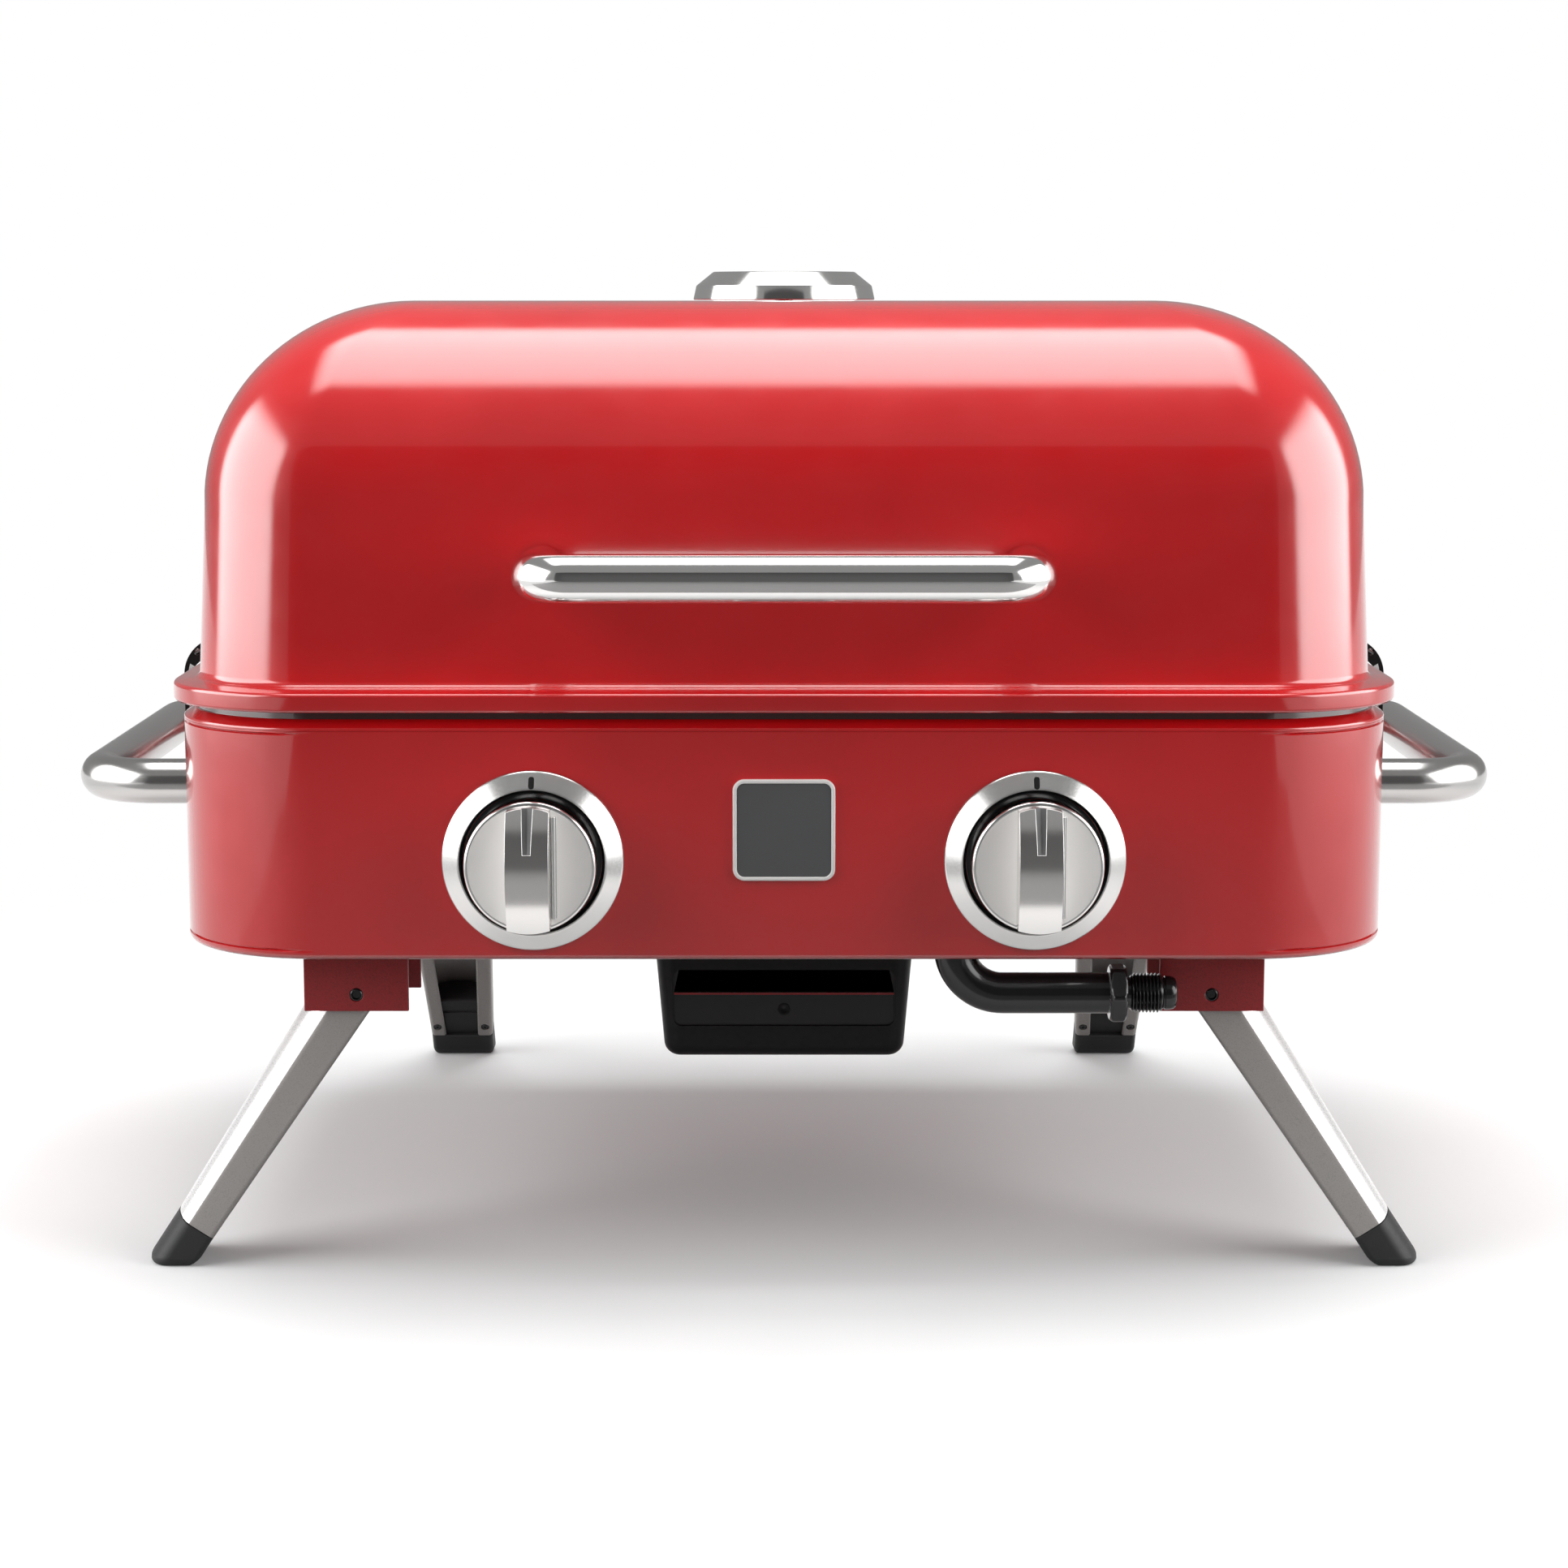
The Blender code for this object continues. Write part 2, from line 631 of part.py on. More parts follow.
def gauge_parts():
    """The thermometer on the lid's top: its ring, dial, glass, stem with nut, and needle."""
    base = LID_TOP + GAP
    top = LID_TOP + GAUGE_HEIGHT
    lip = GAUGE_BORE - GAUGE_LIP
    lens_top = top - GAUGE_RECESS
    ring = turned("gauge_bezel", [
        (GAUGE_RADIUS, base),
        (GAUGE_RADIUS - GAUGE_DRAFT, top - GAUGE_SLOPE),
        (GAUGE_WINDOW + 0.001, top),
        (lip, top),
        (lip, lens_top),
        (GAUGE_BORE, lens_top),
        (GAUGE_BORE, base),
    ], closed=True)
    place(ring, "chrome")
    dial = turned("gauge_dial", [
        (GAUGE_BORE - GAP, base),
        (GAUGE_BORE - GAP, base + DIAL_SHEET),
        (GAUGE_STEM + GAP, base + DIAL_SHEET),
        (GAUGE_STEM + GAP, base),
    ], closed=True)
    place(dial, "white")
    lens_radius = GAUGE_BORE - GAP
    lens = turned("gauge_lens", [(lens_radius, lens_top - GAP - LENS_SHEET), (lens_radius, lens_top - GAP)])
    place(lens, "glass")
    nut_top = LID_TOP - LID_WALL - GAP
    stem_top = base + STEM_OVER_LID
    stem = turned("gauge_stem", [
        (GAUGE_STEM / 2, LID_TOP - GAUGE_PROBE),
        (GAUGE_STEM, LID_TOP - GAUGE_PROBE + GAUGE_STEM),
        (GAUGE_STEM, nut_top - GAUGE_NUT),
        (2 * GAUGE_STEM, nut_top - GAUGE_NUT),
        (2 * GAUGE_STEM, nut_top),
        (GAUGE_STEM, nut_top),
        (GAUGE_STEM, stem_top),
    ], PIN_STEPS)
    place(stem, "steel")
    hub = turned("gauge_needle", [(GAUGE_STEM, 0), (GAUGE_STEM, NEEDLE_HUB)], PIN_STEPS)
    pointer = skin("pointer", [
        [
            (-NEEDLE_HALF, 0, z), (NEEDLE_HALF, 0, z),
            (NEEDLE_HALF / 3, NEEDLE_LENGTH, z), (-NEEDLE_HALF / 3, NEEDLE_LENGTH, z),
        ]
        for z in (NEEDLE_STEP, NEEDLE_HUB - NEEDLE_STEP)
    ])
    fuse(hub, pointer)
    place(hub, "black", (0, 0, stem_top + GAP), (0, 0, math.radians(120)))


def hinges(side, sign):
    """One lid hinge: the lower leaf with its pin on the tub, the upper leaf on the lid."""
    half = HINGE_WIDTH / 2
    knuckle = HINGE_KNUCKLE
    radius = HINGE_RADIUS
    sheet = HINGE_SHEET

    def around(start, end, steps=6):
        angles = [math.radians(start + (end - start) * i / steps) for i in range(steps + 1)]
        return [(HINGE_Y + radius * math.cos(a), HINGE_Z + radius * math.sin(a)) for a in angles]

    def leaf(name, outline, start, end):
        """An outline in Y and Z, extruded along X."""
        return moved(prism(name, outline, -end, -start), turn=(0, 0, math.pi / 2))

    tub = HALF_DEPTH + GAP
    bottom = BODY_TOP - HINGE_DROP
    plate = leaf(f"hinge_lower_{side}", [
        (tub, bottom), (tub + sheet, bottom), (tub + sheet, BODY_TOP + sheet), (tub, BODY_TOP + sheet),
    ], -half, half)
    root = BODY_TOP - HINGE_ROOT
    arm = [(tub, root), (tub + sheet * 0.9, root), *around(-40, 170), (tub, BODY_TOP + 0.0015)]
    for low, high in ((-half + GAP / 2, -knuckle), (knuckle, half - GAP / 2)):
        fuse(plate, leaf("arm", arm, low, high))
    pin_half = half - HINGE_PIN_SHORT
    pin = turned("pin", [(HINGE_PIN, -pin_half), (HINGE_PIN, pin_half)], PIN_STEPS)
    moved(pin, (0, HINGE_Y, HINGE_Z), (0, math.pi / 2, 0))
    fuse(plate, pin)
    place(plate, "steel", (sign * HINGE_X, 0, 0))

    low = LID_BOTTOM + FLANGE_HEIGHT + 2 * FLANGE_EDGE
    wall = lid_wall_y(low) + GAP
    flange = HALF_DEPTH + FLANGE_REACH
    over = LID_BOTTOM + FLANGE_HEIGHT + FLANGE_EDGE
    strap_half = knuckle - GAP
    upper = leaf(f"hinge_upper_{side}", [
        (wall, low + HINGE_RISE), (wall, low + GAP),
        (wall + sheet, low + GAP), (wall + sheet, low + HINGE_RISE),
    ], -half, half)
    strip = [
        (wall, low + 0.008), (wall, low + GAP), (wall + 0.003, over), (flange + 0.0012, over - 0.0015),
        *around(180, 360), (HINGE_Y + radius, HINGE_Z + 0.003), (flange + 0.0035, over + 0.002),
        (wall + sheet * 0.95, low + 0.008),
    ]
    fuse(upper, leaf("strip", strip, -strap_half, strap_half))
    drill(upper, HINGE_PIN + GAP, (0, HINGE_Y, HINGE_Z), "X")
    place(upper, "steel", (sign * HINGE_X, 0, 0))


def control(side, sign):
    """One control: the bezel, valve, stem, spring seat and knob. Their Z runs out towards the user."""
    at = (sign * KNOB_X, FRONT, KNOB_Z)
    bezel = turned(f"knob_bezel_{side}", [
        (BEZEL_RADIUS, GAP),
        (BEZEL_RADIUS, 0.0018),
        (BEZEL_RADIUS - 0.0006, 0.0026),
        (BEZEL_INNER + 0.0012, BEZEL_HEIGHT),
        (BEZEL_INNER, BEZEL_HEIGHT - 0.0012),
        (BEZEL_INNER, GAP),
    ], steps=32, closed=True)
    place(bezel, "chrome", at, FACE_FRONT)

    inside = -BODY_WALL - GAP
    bore = STEM_RADIUS + GAP
    half = VALVE_WIDTH / 2
    low = VALVE_BOTTOM - KNOB_Z
    valve = box(f"valve_{side}", (-half, low, inside - VALVE_DEPTH), (half, low + VALVE_HEIGHT, inside))
    nose = turned("nose", [(VALVE_NOSE, inside - 0.002), (VALVE_NOSE, VALVE_NOSE_OUT)])
    far = inside - VALVE_DEPTH
    spud = turned("spud", [(STEM_RADIUS, far - 0.006), (STEM_RADIUS, far + 0.004)], PIN_STEPS)
    fuse(valve, nose, spud)
    depth = STEM_IN_VALVE + PUSH_TRAVEL + VALVE_SPARE
    drill(valve, bore, (0, 0, VALVE_NOSE_OUT + 0.005 - (depth + 0.0085) / 2), "Z", depth + 0.0085, PIN_STEPS)
    place(valve, "brass", at, FACE_FRONT)

    stem = turned(f"valve_stem_{side}", [
        (STEM_RADIUS - 0.0006, -STEM_IN_VALVE),
        (STEM_RADIUS, -STEM_IN_VALVE + 0.0006),
        (STEM_RADIUS, KNOB_BACK + STEM_IN_KNOB),
    ], PIN_STEPS)
    place(stem, "brass", at, FACE_FRONT)

    seat_top = KNOB_BACK - GAP
    seat = turned(f"spring_seat_{side}", [
        (2 * STEM_RADIUS, seat_top - SEAT_SHEET),
        (2 * STEM_RADIUS, seat_top),
        (bore, seat_top),
        (bore, seat_top - SEAT_SHEET),
    ], closed=True)
    place(seat, "steel", at, FACE_FRONT)

    knob = turned(f"knob_{side}", [
        (KNOB_RADIUS - KNOB_EDGE, KNOB_BACK),
        (KNOB_RADIUS, KNOB_BACK + KNOB_EDGE),
        (KNOB_RADIUS, KNOB_FACE - 2 * KNOB_EDGE),
        (KNOB_RADIUS - 2.5 * KNOB_EDGE, KNOB_FACE),
    ], steps=32)
    reach = KNOB_BAR_LENGTH / 2
    crown = [(reach * (1 - i / 4), KNOB_TOP - KNOB_CROWN * (1 - i / 4) ** 2) for i in range(9)]
    root = KNOB_FACE - KNOB_BAR_ROOT
    outline = [(KNOB_EDGE - reach, root), (reach - KNOB_EDGE, root)] + crown
    bar = moved(prism("bar", outline, -KNOB_BAR_WIDTH / 2, KNOB_BAR_WIDTH / 2), turn=(0, 0, math.pi / 2))
    fuse(knob, bar)
    drill(knob, bore, (0, 0, KNOB_BACK), "Z", 2 * (STEM_IN_KNOB + GAP))
    place(knob, "satin", at, FACE_FRONT)


def badge_plate():
    """The plain square plate between the knobs."""
    half = BADGE_SIZE / 2
    plate = skin("badge_plate", [
        rounded(half, half, BADGE_CORNER, GAP, steps=4),
        rounded(half, half, BADGE_CORNER, BADGE_SHEET + GAP, steps=4),
    ])
    return place(plate, "satin", (0, FRONT, BADGE_Z), FACE_FRONT)


def gas_line():
    """The manifold under the valves, the pipe down through the floor, and its threaded end."""
    half = MANIFOLD_LENGTH / 2
    boss_bottom = MANIFOLD_Z - MANIFOLD_BOSS
    manifold = moved(turned("gas_manifold", [(MANIFOLD_RADIUS, -half), (MANIFOLD_RADIUS, half)], 16),
                     (0, INLET_Y, MANIFOLD_Z), (0, math.pi / 2, 0))
    boss = turned("boss", [(INLET_RADIUS, boss_bottom), (INLET_RADIUS, MANIFOLD_Z)], 16)
    moved(boss, (INLET_X, INLET_Y, 0))
    fuse(manifold, boss)
    place(manifold, "steel")

    turns = (INLET_X, boss_bottom - GAP), (INLET_X, INLET_Z), (FITTING_START, INLET_Z)
    corners = [(x, INLET_Y, z) for x, z in turns]
    place(tube("inlet_pipe", corners, INLET_RADIUS, INLET_BEND), "black")

    start = FITTING_START + GAP
    hexagon = turned("inlet_fitting", [
        (HEX_FLATS / math.sqrt(3), start), (HEX_FLATS / math.sqrt(3), start + HEX_LENGTH),
    ], 6)
    thread_start = start + HEX_LENGTH + NECK_LENGTH
    thread_end = thread_start + THREAD_LENGTH
    stub = turned("stub", [
        (INLET_RADIUS - 0.001, start + HEX_LENGTH - 0.002),
        (INLET_RADIUS - 0.001, thread_start),
        (THREAD_RADIUS, thread_start + 0.0005),
        (THREAD_RADIUS, thread_end),
        (THREAD_RADIUS - 0.001, thread_end + 0.0005),
        (NOSE_END + 0.001, thread_end + NOSE_LENGTH - 0.001),
        (NOSE_END, thread_end + NOSE_LENGTH),
    ])
    fuse(hexagon, stub)
    drill(hexagon, GAS_BORE, (0, 0, thread_end + NOSE_LENGTH), "Z", 2 * GAS_BORE_DEPTH)
    place(hexagon, "black", (0, INLET_Y, INLET_Z), (0, math.pi / 2, 0))


def burner(side, sign):
    """One tube burner through the bowl's front, whose open end takes in the valve's spud."""
    x = sign * KNOB_X
    start = VALVE_BACK + 2 * GAP
    end = BURNER_END
    pipe = turned(f"burner_{side}", [
        (BURNER_BORE, start + MIXER_LENGTH),
        (BURNER_BORE, start),
        (BURNER_RADIUS, start),
        (BURNER_RADIUS, end - BURNER_EDGE),
        (BURNER_RADIUS - BURNER_EDGE, end),
    ])
    place(pipe, "steel", (x, 0, KNOB_Z), (-math.pi / 2, 0, 0))


def tent(side, sign):
    """The roof over a burner, with an end plate at each end that stands on the burner."""
    x = sign * KNOB_X
    foot = BURNER_TOP + GAP
    low = foot + TENT_FOOT
    high = low + TENT_RISE
    end = TENT_END
    saddle = TENT_HALF * 0.3
    roof = prism(f"heat_tent_{side}", [
        (-TENT_HALF, low), (-saddle, low), (-saddle, foot),
        (saddle, foot), (saddle, low), (TENT_HALF, low), (0, high),
    ], TENT_START, end)
    slope = TENT_RISE / TENT_HALF
    drop = TENT_SHEET * math.hypot(1, slope)
    deep = low - TENT_RISE
    reach = TENT_HALF - drop / slope + (low - deep) / slope
    inside = [(-reach, deep), (reach, deep), (0, high - drop)]
    hollow = prism("hollow", inside, TENT_START + TENT_SHEET, end - TENT_SHEET)
    boolean(roof, hollow, "DIFFERENCE")
    place(roof, "steel", (x, 0, 0))


def igniter(side, sign):
    """The ceramic electrode that stands through the bowl's floor beside a burner."""
    collar = IGNITER_RADIUS + IGNITER_COLLAR
    x = KNOB_X - IGNITER_OFFSET
    part = (x + collar - BOWL_SUMP) / (LEDGE_X - BOWL_TAPER - BOWL_SUMP)
    floor = BOWL_FLOOR - BOWL_FALL * (1 - part) + BOWL_WALL + GAP
    rod = turned(f"igniter_{side}", [
        (IGNITER_RADIUS, floor - IGNITER_UNDER),
        (IGNITER_RADIUS, floor),
        (collar, floor),
        (collar, floor + IGNITER_COLLAR),
        (IGNITER_RADIUS, floor + IGNITER_COLLAR),
        (IGNITER_RADIUS, KNOB_Z - SPARK_RISE),
        (SPARK_RADIUS, KNOB_Z - SPARK_RISE + SPARK_RADIUS),
        (SPARK_RADIUS, KNOB_Z + SPARK_RISE),
    ], PIN_STEPS)
    place(rod, "white", (sign * x, IGNITER_Y, 0))


def grate(side, sign):
    """One cooking grate: a frame, bars from front to back and a cross bar."""
    width = GRATE_X - GRATE_SPLIT / 2
    pitch = (width - GRATE_BAR) / (GRATE_BARS + 1)
    xs = []
    for i in range(GRATE_BARS + 2):
        xs += [i * pitch, i * pitch + GRATE_BAR]
    cross = GRATE_BAR / 2
    ys = [-GRATE_Y, -GRATE_Y + GRATE_RIM, -cross, cross, GRATE_Y - GRATE_RIM, GRATE_Y]
    bottom = LEDGE_TOP + GAP
    plate = slotted(
        f"grate_{side}", xs, ys, lambda i, j: i % 2 == 0 or j % 2 == 0, bottom, bottom + GRATE_THICK,
    )
    start = GRATE_SPLIT / 2 if sign > 0 else -GRATE_SPLIT / 2 - width
    place(plate, "iron", (start, 0, 0))


def side_handle(side, sign):
    """The bent carrying handle on one side of the tub."""
    radius = HANDLE_TUBE / 2
    wall = sign * (HALF_WIDTH + GAP)
    out = sign * (HALF_WIDTH + HANDLE_REACH - radius)
    y = HANDLE_LENGTH / 2 - radius
    corners = [(wall, -y, HANDLE_Z), (out, -y, HANDLE_Z), (out, y, HANDLE_Z), (wall, y, HANDLE_Z)]
    place(tube(f"side_handle_{side}", corners, radius, HANDLE_BEND), "chrome")


def leg_section(s):
    """The leg's section at a distance below its pivot.

    Gives the open side, the web's edge, its apex and half the width.
    """
    part = max(0, s) / LEG_LENGTH
    inner, edge, apex = (between(LEG_TOP[key], LEG_END[key], part) for key in ("inner", "edge", "apex"))
    return inner, edge, apex, between(LEG_HALF, LEG_END["half"], part)


def web(edge, apex, half, steps=8):
    """The rounded web from one flange to the other, in X and Y."""
    angles = [math.pi * i / steps for i in range(steps + 1)]
    return [(edge + (apex - edge) * math.sin(a), -half * math.cos(a)) for a in angles]


def leg_mesh():
    """The mesh of a leg: a tapered channel, open on its inner side, hanging from its pivot along -Z."""
    rings = []
    for s in (-LEG_ABOVE_PIVOT, 0, LEG_LENGTH):
        inner, edge, apex, half = leg_section(s)
        wall = LEG_WALL
        lips = [(inner, half), (inner, half - LEG_LIP)]
        outline = [(inner, -half + LEG_LIP), (inner, -half)] + web(edge, apex, half) + lips
        back = [(inner + wall, half - LEG_LIP), (inner + wall, half - wall)]
        back += web(edge, apex - wall, half - wall)[::-1]
        back += [(inner + wall, -half + wall), (inner + wall, -half + LEG_LIP)]
        rings.append([(x, y, -s) for x, y in outline + back])
    leg = skin("leg", rings)
    drill(leg, PIN_HOLE, (0, 0, 0), "Y", steps=16)
    return leg


def foot_mesh():
    """The mesh of a foot: a cap with a level sole, and a plug up inside the leg."""

    def ring(s, inset, height=None):
        inner, edge, apex, half = leg_section(min(s, LEG_LENGTH))
        wide = half - inset
        outline = [(inner + inset, -wide)] + web(edge, apex - inset, wide) + [(inner + inset, wide)]
        if height is None:
            return [(x, y, -s) for x, y in outline]
        return [(x, y, -(PIVOT_Z - height + x * FOOT_SIN) / FOOT_COS) for x, y in outline]

    start = LEG_LENGTH + GAP
    snug = LEG_WALL + GAP
    return skin("foot", [
        ring(LEG_LENGTH - PLUG_LENGTH, snug),
        ring(start, snug),
        ring(start, 0),
        ring(start, 0, FOOT_EDGE),
        ring(start, FOOT_SOFT, 0),
    ])


def bracket_mesh():
    """The mesh of a leg bracket: a folded channel open downwards, with a pin hole through both cheeks."""
    half = BRACKET_SPACING / 2
    out = half + BRACKET_SHEET
    top = BODY_BOTTOM - GAP - PIVOT_Z
    low = -BRACKET_DROP
    under = top - BRACKET_SHEET
    outline = [
        (-out, low), (-out, top), (out, top), (out, low),
        (half, low), (half, under), (-half, under), (-half, low),
    ]
    bracket = prism("bracket", outline, -BRACKET_WIDTH / 2, BRACKET_WIDTH / 2)
    moved(bracket, turn=(0, 0, math.pi / 2))
    drill(bracket, PIN_HOLE, (0, 0, 0), "Y", steps=16)
    return bracket


def pin_mesh():
    """The mesh of a leg's pivot pin, with a head at each end."""
    start = BRACKET_SPACING / 2 + BRACKET_SHEET + GAP
    end = start + PIN_HEAD_LENGTH
    pin = turned("pin", [
        (PIN_HEAD - 0.0006, -end), (PIN_HEAD, -end + 0.0006), (PIN_HEAD, -start), (PIN_RADIUS, -start),
        (PIN_RADIUS, start), (PIN_HEAD, start), (PIN_HEAD, end - 0.0006), (PIN_HEAD - 0.0006, end),
    ], 16)
    return moved(pin, turn=(math.pi / 2, 0, 0))


LEGS = {
    "front_left": (-FRONT_PIVOT_X, FRONT + FRONT_SET_IN, math.pi),
    "front_right": (FRONT_PIVOT_X, FRONT + FRONT_SET_IN, 0),
    "rear_left": (-REAR_PIVOT_X, HALF_DEPTH - REAR_SET_IN, math.pi / 2),
    "rear_right": (REAR_PIVOT_X, HALF_DEPTH - REAR_SET_IN, math.pi / 2),
}


def legs():
    """The four folding legs with their feet, brackets and pins. Each kind of piece shares one shape."""
    patterns = {
        "leg": (leg_mesh(), "satin", -SPLAY),
        "foot": (foot_mesh(), "rubber", -SPLAY),
        "leg_bracket": (bracket_mesh(), "red", 0),
        "leg_pin": (pin_mesh(), "black", 0),
    }
    for kind, (pattern, colour, tilt) in patterns.items():
        for corner, (x, y, yaw) in LEGS.items():
            thing = bpy.data.objects.new(f"{kind}_{corner}", pattern.data.copy())
            bpy.context.scene.collection.objects.link(thing)
            place(thing, colour, (x, y, PIVOT_Z), (0, tilt, yaw))
        bpy.data.objects.remove(pattern, do_unlink=True)


def drip_cup():
    """The grease cup, whose side rims slide on the hanger's ledges."""
    half_x = CUP_WIDTH / 2
    half_y = CUP_DEPTH / 2
    middle = FRONT + CUP_FRONT + half_y
    wall = CUP_WALL
    soft = CUP_CORNER

    def row(inset, z, extra=0.0):
        return rounded(half_x - inset + extra, half_y - inset, soft, z, middle, 3)

    under = CUP_TOP - wall
    cup = skin("drip_cup", [
        row(CUP_TAPER + soft, CUP_BOTTOM),
        row(CUP_TAPER + soft * 0.3, CUP_BOTTOM + soft * 0.3),
        row(CUP_TAPER, CUP_BOTTOM + soft),
        row(0, under),
        row(0, under, CUP_RIM),
        row(0, CUP_TOP, CUP_RIM),
        row(wall, CUP_TOP),
        row(wall, under),
        row(CUP_TAPER + wall, CUP_BOTTOM + soft),
        row(CUP_TAPER + soft, CUP_BOTTOM + wall),
    ])
    place(cup, "black")


def cup_hanger():
    """The frame under the tub: a plate with a window, a rail and ledge each side, and two front aprons."""
    outer = HANGER_WIDTH / 2
    start = FRONT + CUP_FRONT
    end = start + CUP_DEPTH + HANGER_PAST_CUP
    top = BODY_BOTTOM - GAP
    under = top - RAIL_SHEET
    rail = CUP_WIDTH / 2 + CUP_RIM + CUP_PLAY
    window = CUP_WIDTH / 2 - WINDOW_IN
    xs = [-outer, -window, window, outer]
    ys = [start, start + WINDOW_FRONT, end - WINDOW_BACK, end]
    plate = slotted("cup_hanger", xs, ys, lambda i, j: (i, j) != (1, 1), under, top)
    ledge_top = CUP_TOP - CUP_WALL - GAP
    ledge = ledge_top - RAIL_SHEET
    inner = CUP_WIDTH / 2 + CUP_PLAY
    angle = [(inner, ledge), (rail + RAIL_SHEET, ledge), (rail + RAIL_SHEET, top - RAIL_SHEET / 2),
             (rail, top - RAIL_SHEET / 2), (rail, ledge_top), (inner, ledge_top)]
    low = start + RAIL_SHEET / 3
    for sign in SIDES.values():
        fuse(plate, prism("rail", [(sign * x, z) for x, z in angle], low, end - RAIL_SHEET / 3))
        near, far = sorted((sign * (rail + RAIL_SHEET / 2), sign * (outer - RAIL_SHEET / 3)))
        front, back = start + RAIL_SHEET / 5, start + 1.2 * RAIL_SHEET
        fuse(plate, box("apron", (near, front, APRON_BOTTOM), (far, back, top - RAIL_SHEET / 2)))
    place(plate, "red")


def latch(side, sign):
    """One side latch: its bracket and pin on the tub, and the claw that turns over the lid's flange."""
    pivot = LATCH_PIVOT_OUT
    wall = GAP
    half = LATCH_WIDTH / 2
    ear = half + GAP
    sheet = LATCH_SHEET
    edge = ear + 3 * sheet
    base = box(f"latch_bracket_{side}", (wall, -edge, -LATCH_PLATE_DOWN),
               (wall + sheet, edge, LATCH_PLATE_UP))
    for low, high in ((-ear - sheet, -ear), (ear, ear + sheet)):
        near, far = wall + sheet / 2, pivot + LATCH_EAR_NOSE
        fuse(base, box("ear", (near, low, -LATCH_EAR_HALF), (far, high, LATCH_EAR_HALF)))
    pin = moved(turned("pin", [(LATCH_PIN, -ear - sheet / 2), (LATCH_PIN, ear + sheet / 2)], PIN_STEPS),
                (pivot, 0, 0), (math.pi / 2, 0, 0))
    fuse(base, pin)
    at = (sign * HALF_WIDTH, 0, LATCH_PIVOT_Z)
    yaw = 0 if sign > 0 else math.pi
    place(base, "black", at, (0, 0, yaw))

    tip_x = FLANGE_REACH + LATCH_TIP_CLEAR - pivot
    tip_z = LID_BOTTOM + FLANGE_HEIGHT + LATCH_TIP_CLEAR - LATCH_PIVOT_Z
    out = LATCH_OUT
    arc = LATCH_ARC
    turn_z = tip_z - arc
    angles = [math.radians(90) * i / ROUND_STEPS for i in range(ROUND_STEPS + 1)]
    path = [LATCH_ROOT, (out - LATCH_ELBOW[0], LATCH_ELBOW[1]), (out, LATCH_STRAIGHT)]
    path += [(tip_x + (out - tip_x) * math.cos(a), turn_z + arc * math.sin(a)) for a in angles]
    claw = prism(f"latch_claw_{side}", [tuple(point) for point in strap(path, -sheet)], -half, half)
    barrel_half = half - 2 * GAP / 3
    barrel = moved(turned("barrel", [(LATCH_BARREL, -barrel_half), (LATCH_BARREL, barrel_half)], 16),
                   turn=(math.pi / 2, 0, 0))
    fuse(claw, barrel)
    drill(claw, LATCH_PIN + GAP, (0, 0, 0), "Y")
    place(claw, "black", (at[0] + sign * pivot, 0, LATCH_PIVOT_Z), (0, 0, yaw))


def main():
    clear_scene()
    housing_shell()
    firebox_bowl()
    lid_shell()
    lid_handle()
    gauge_parts()
    badge_plate()
    gas_line()
    for side, sign in SIDES.items():
        hinges(side, sign)
        control(side, sign)
        burner(side, sign)
        tent(side, sign)
        igniter(side, sign)
        grate(side, sign)
        side_handle(side, sign)
        latch(side, sign)
    legs()
    drip_cup()
    cup_hanger()

    grill = bpy.data.objects.new("grill", None)
    bpy.context.scene.collection.objects.link(grill)
    for thing in list(bpy.context.scene.collection.objects):
        if thing is not grill:
            thing.parent = grill
    grill.location = (0, GRILL_Y, 0)


main()
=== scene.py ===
"""The looks of a portable tabletop gas grill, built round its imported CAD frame. Lengths are in metres."""
import json
import math

import bmesh
import bpy
from mathutils import Matrix, Vector


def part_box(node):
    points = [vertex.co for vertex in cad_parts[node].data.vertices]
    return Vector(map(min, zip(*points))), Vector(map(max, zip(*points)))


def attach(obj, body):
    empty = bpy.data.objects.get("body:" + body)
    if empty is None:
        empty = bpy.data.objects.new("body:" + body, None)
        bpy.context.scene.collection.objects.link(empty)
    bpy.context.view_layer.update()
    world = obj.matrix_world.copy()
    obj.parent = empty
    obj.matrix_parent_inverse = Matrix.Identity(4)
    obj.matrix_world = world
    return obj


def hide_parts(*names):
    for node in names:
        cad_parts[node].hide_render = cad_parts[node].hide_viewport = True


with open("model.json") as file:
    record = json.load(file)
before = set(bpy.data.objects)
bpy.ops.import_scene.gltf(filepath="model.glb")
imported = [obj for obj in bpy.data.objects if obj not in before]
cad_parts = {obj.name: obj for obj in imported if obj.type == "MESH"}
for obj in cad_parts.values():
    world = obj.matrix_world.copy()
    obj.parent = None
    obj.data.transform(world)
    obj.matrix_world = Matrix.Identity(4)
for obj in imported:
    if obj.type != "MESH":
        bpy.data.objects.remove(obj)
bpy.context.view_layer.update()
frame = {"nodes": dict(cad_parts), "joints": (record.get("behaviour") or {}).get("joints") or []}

SIDES = {"left": -1, "right": 1}
JOINTS = {joint["name"]: joint for joint in frame["joints"]}

# Places taken from the frame
TUB_LOW, TUB_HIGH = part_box("housing_shell")
LID_LOW, LID_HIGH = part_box("lid_shell")
HALF_WIDTH = TUB_HIGH.x
HALF_DEPTH = (TUB_HIGH.y - TUB_LOW.y) / 2
MIDDLE_Y = (TUB_HIGH.y + TUB_LOW.y) / 2
FRONT = TUB_LOW.y
LID_REACH = LID_HIGH.x - HALF_WIDTH
KNOB_AT = {side: Vector(JOINTS[f"knob_turn_{side}"]["pos_m"]) for side in SIDES}

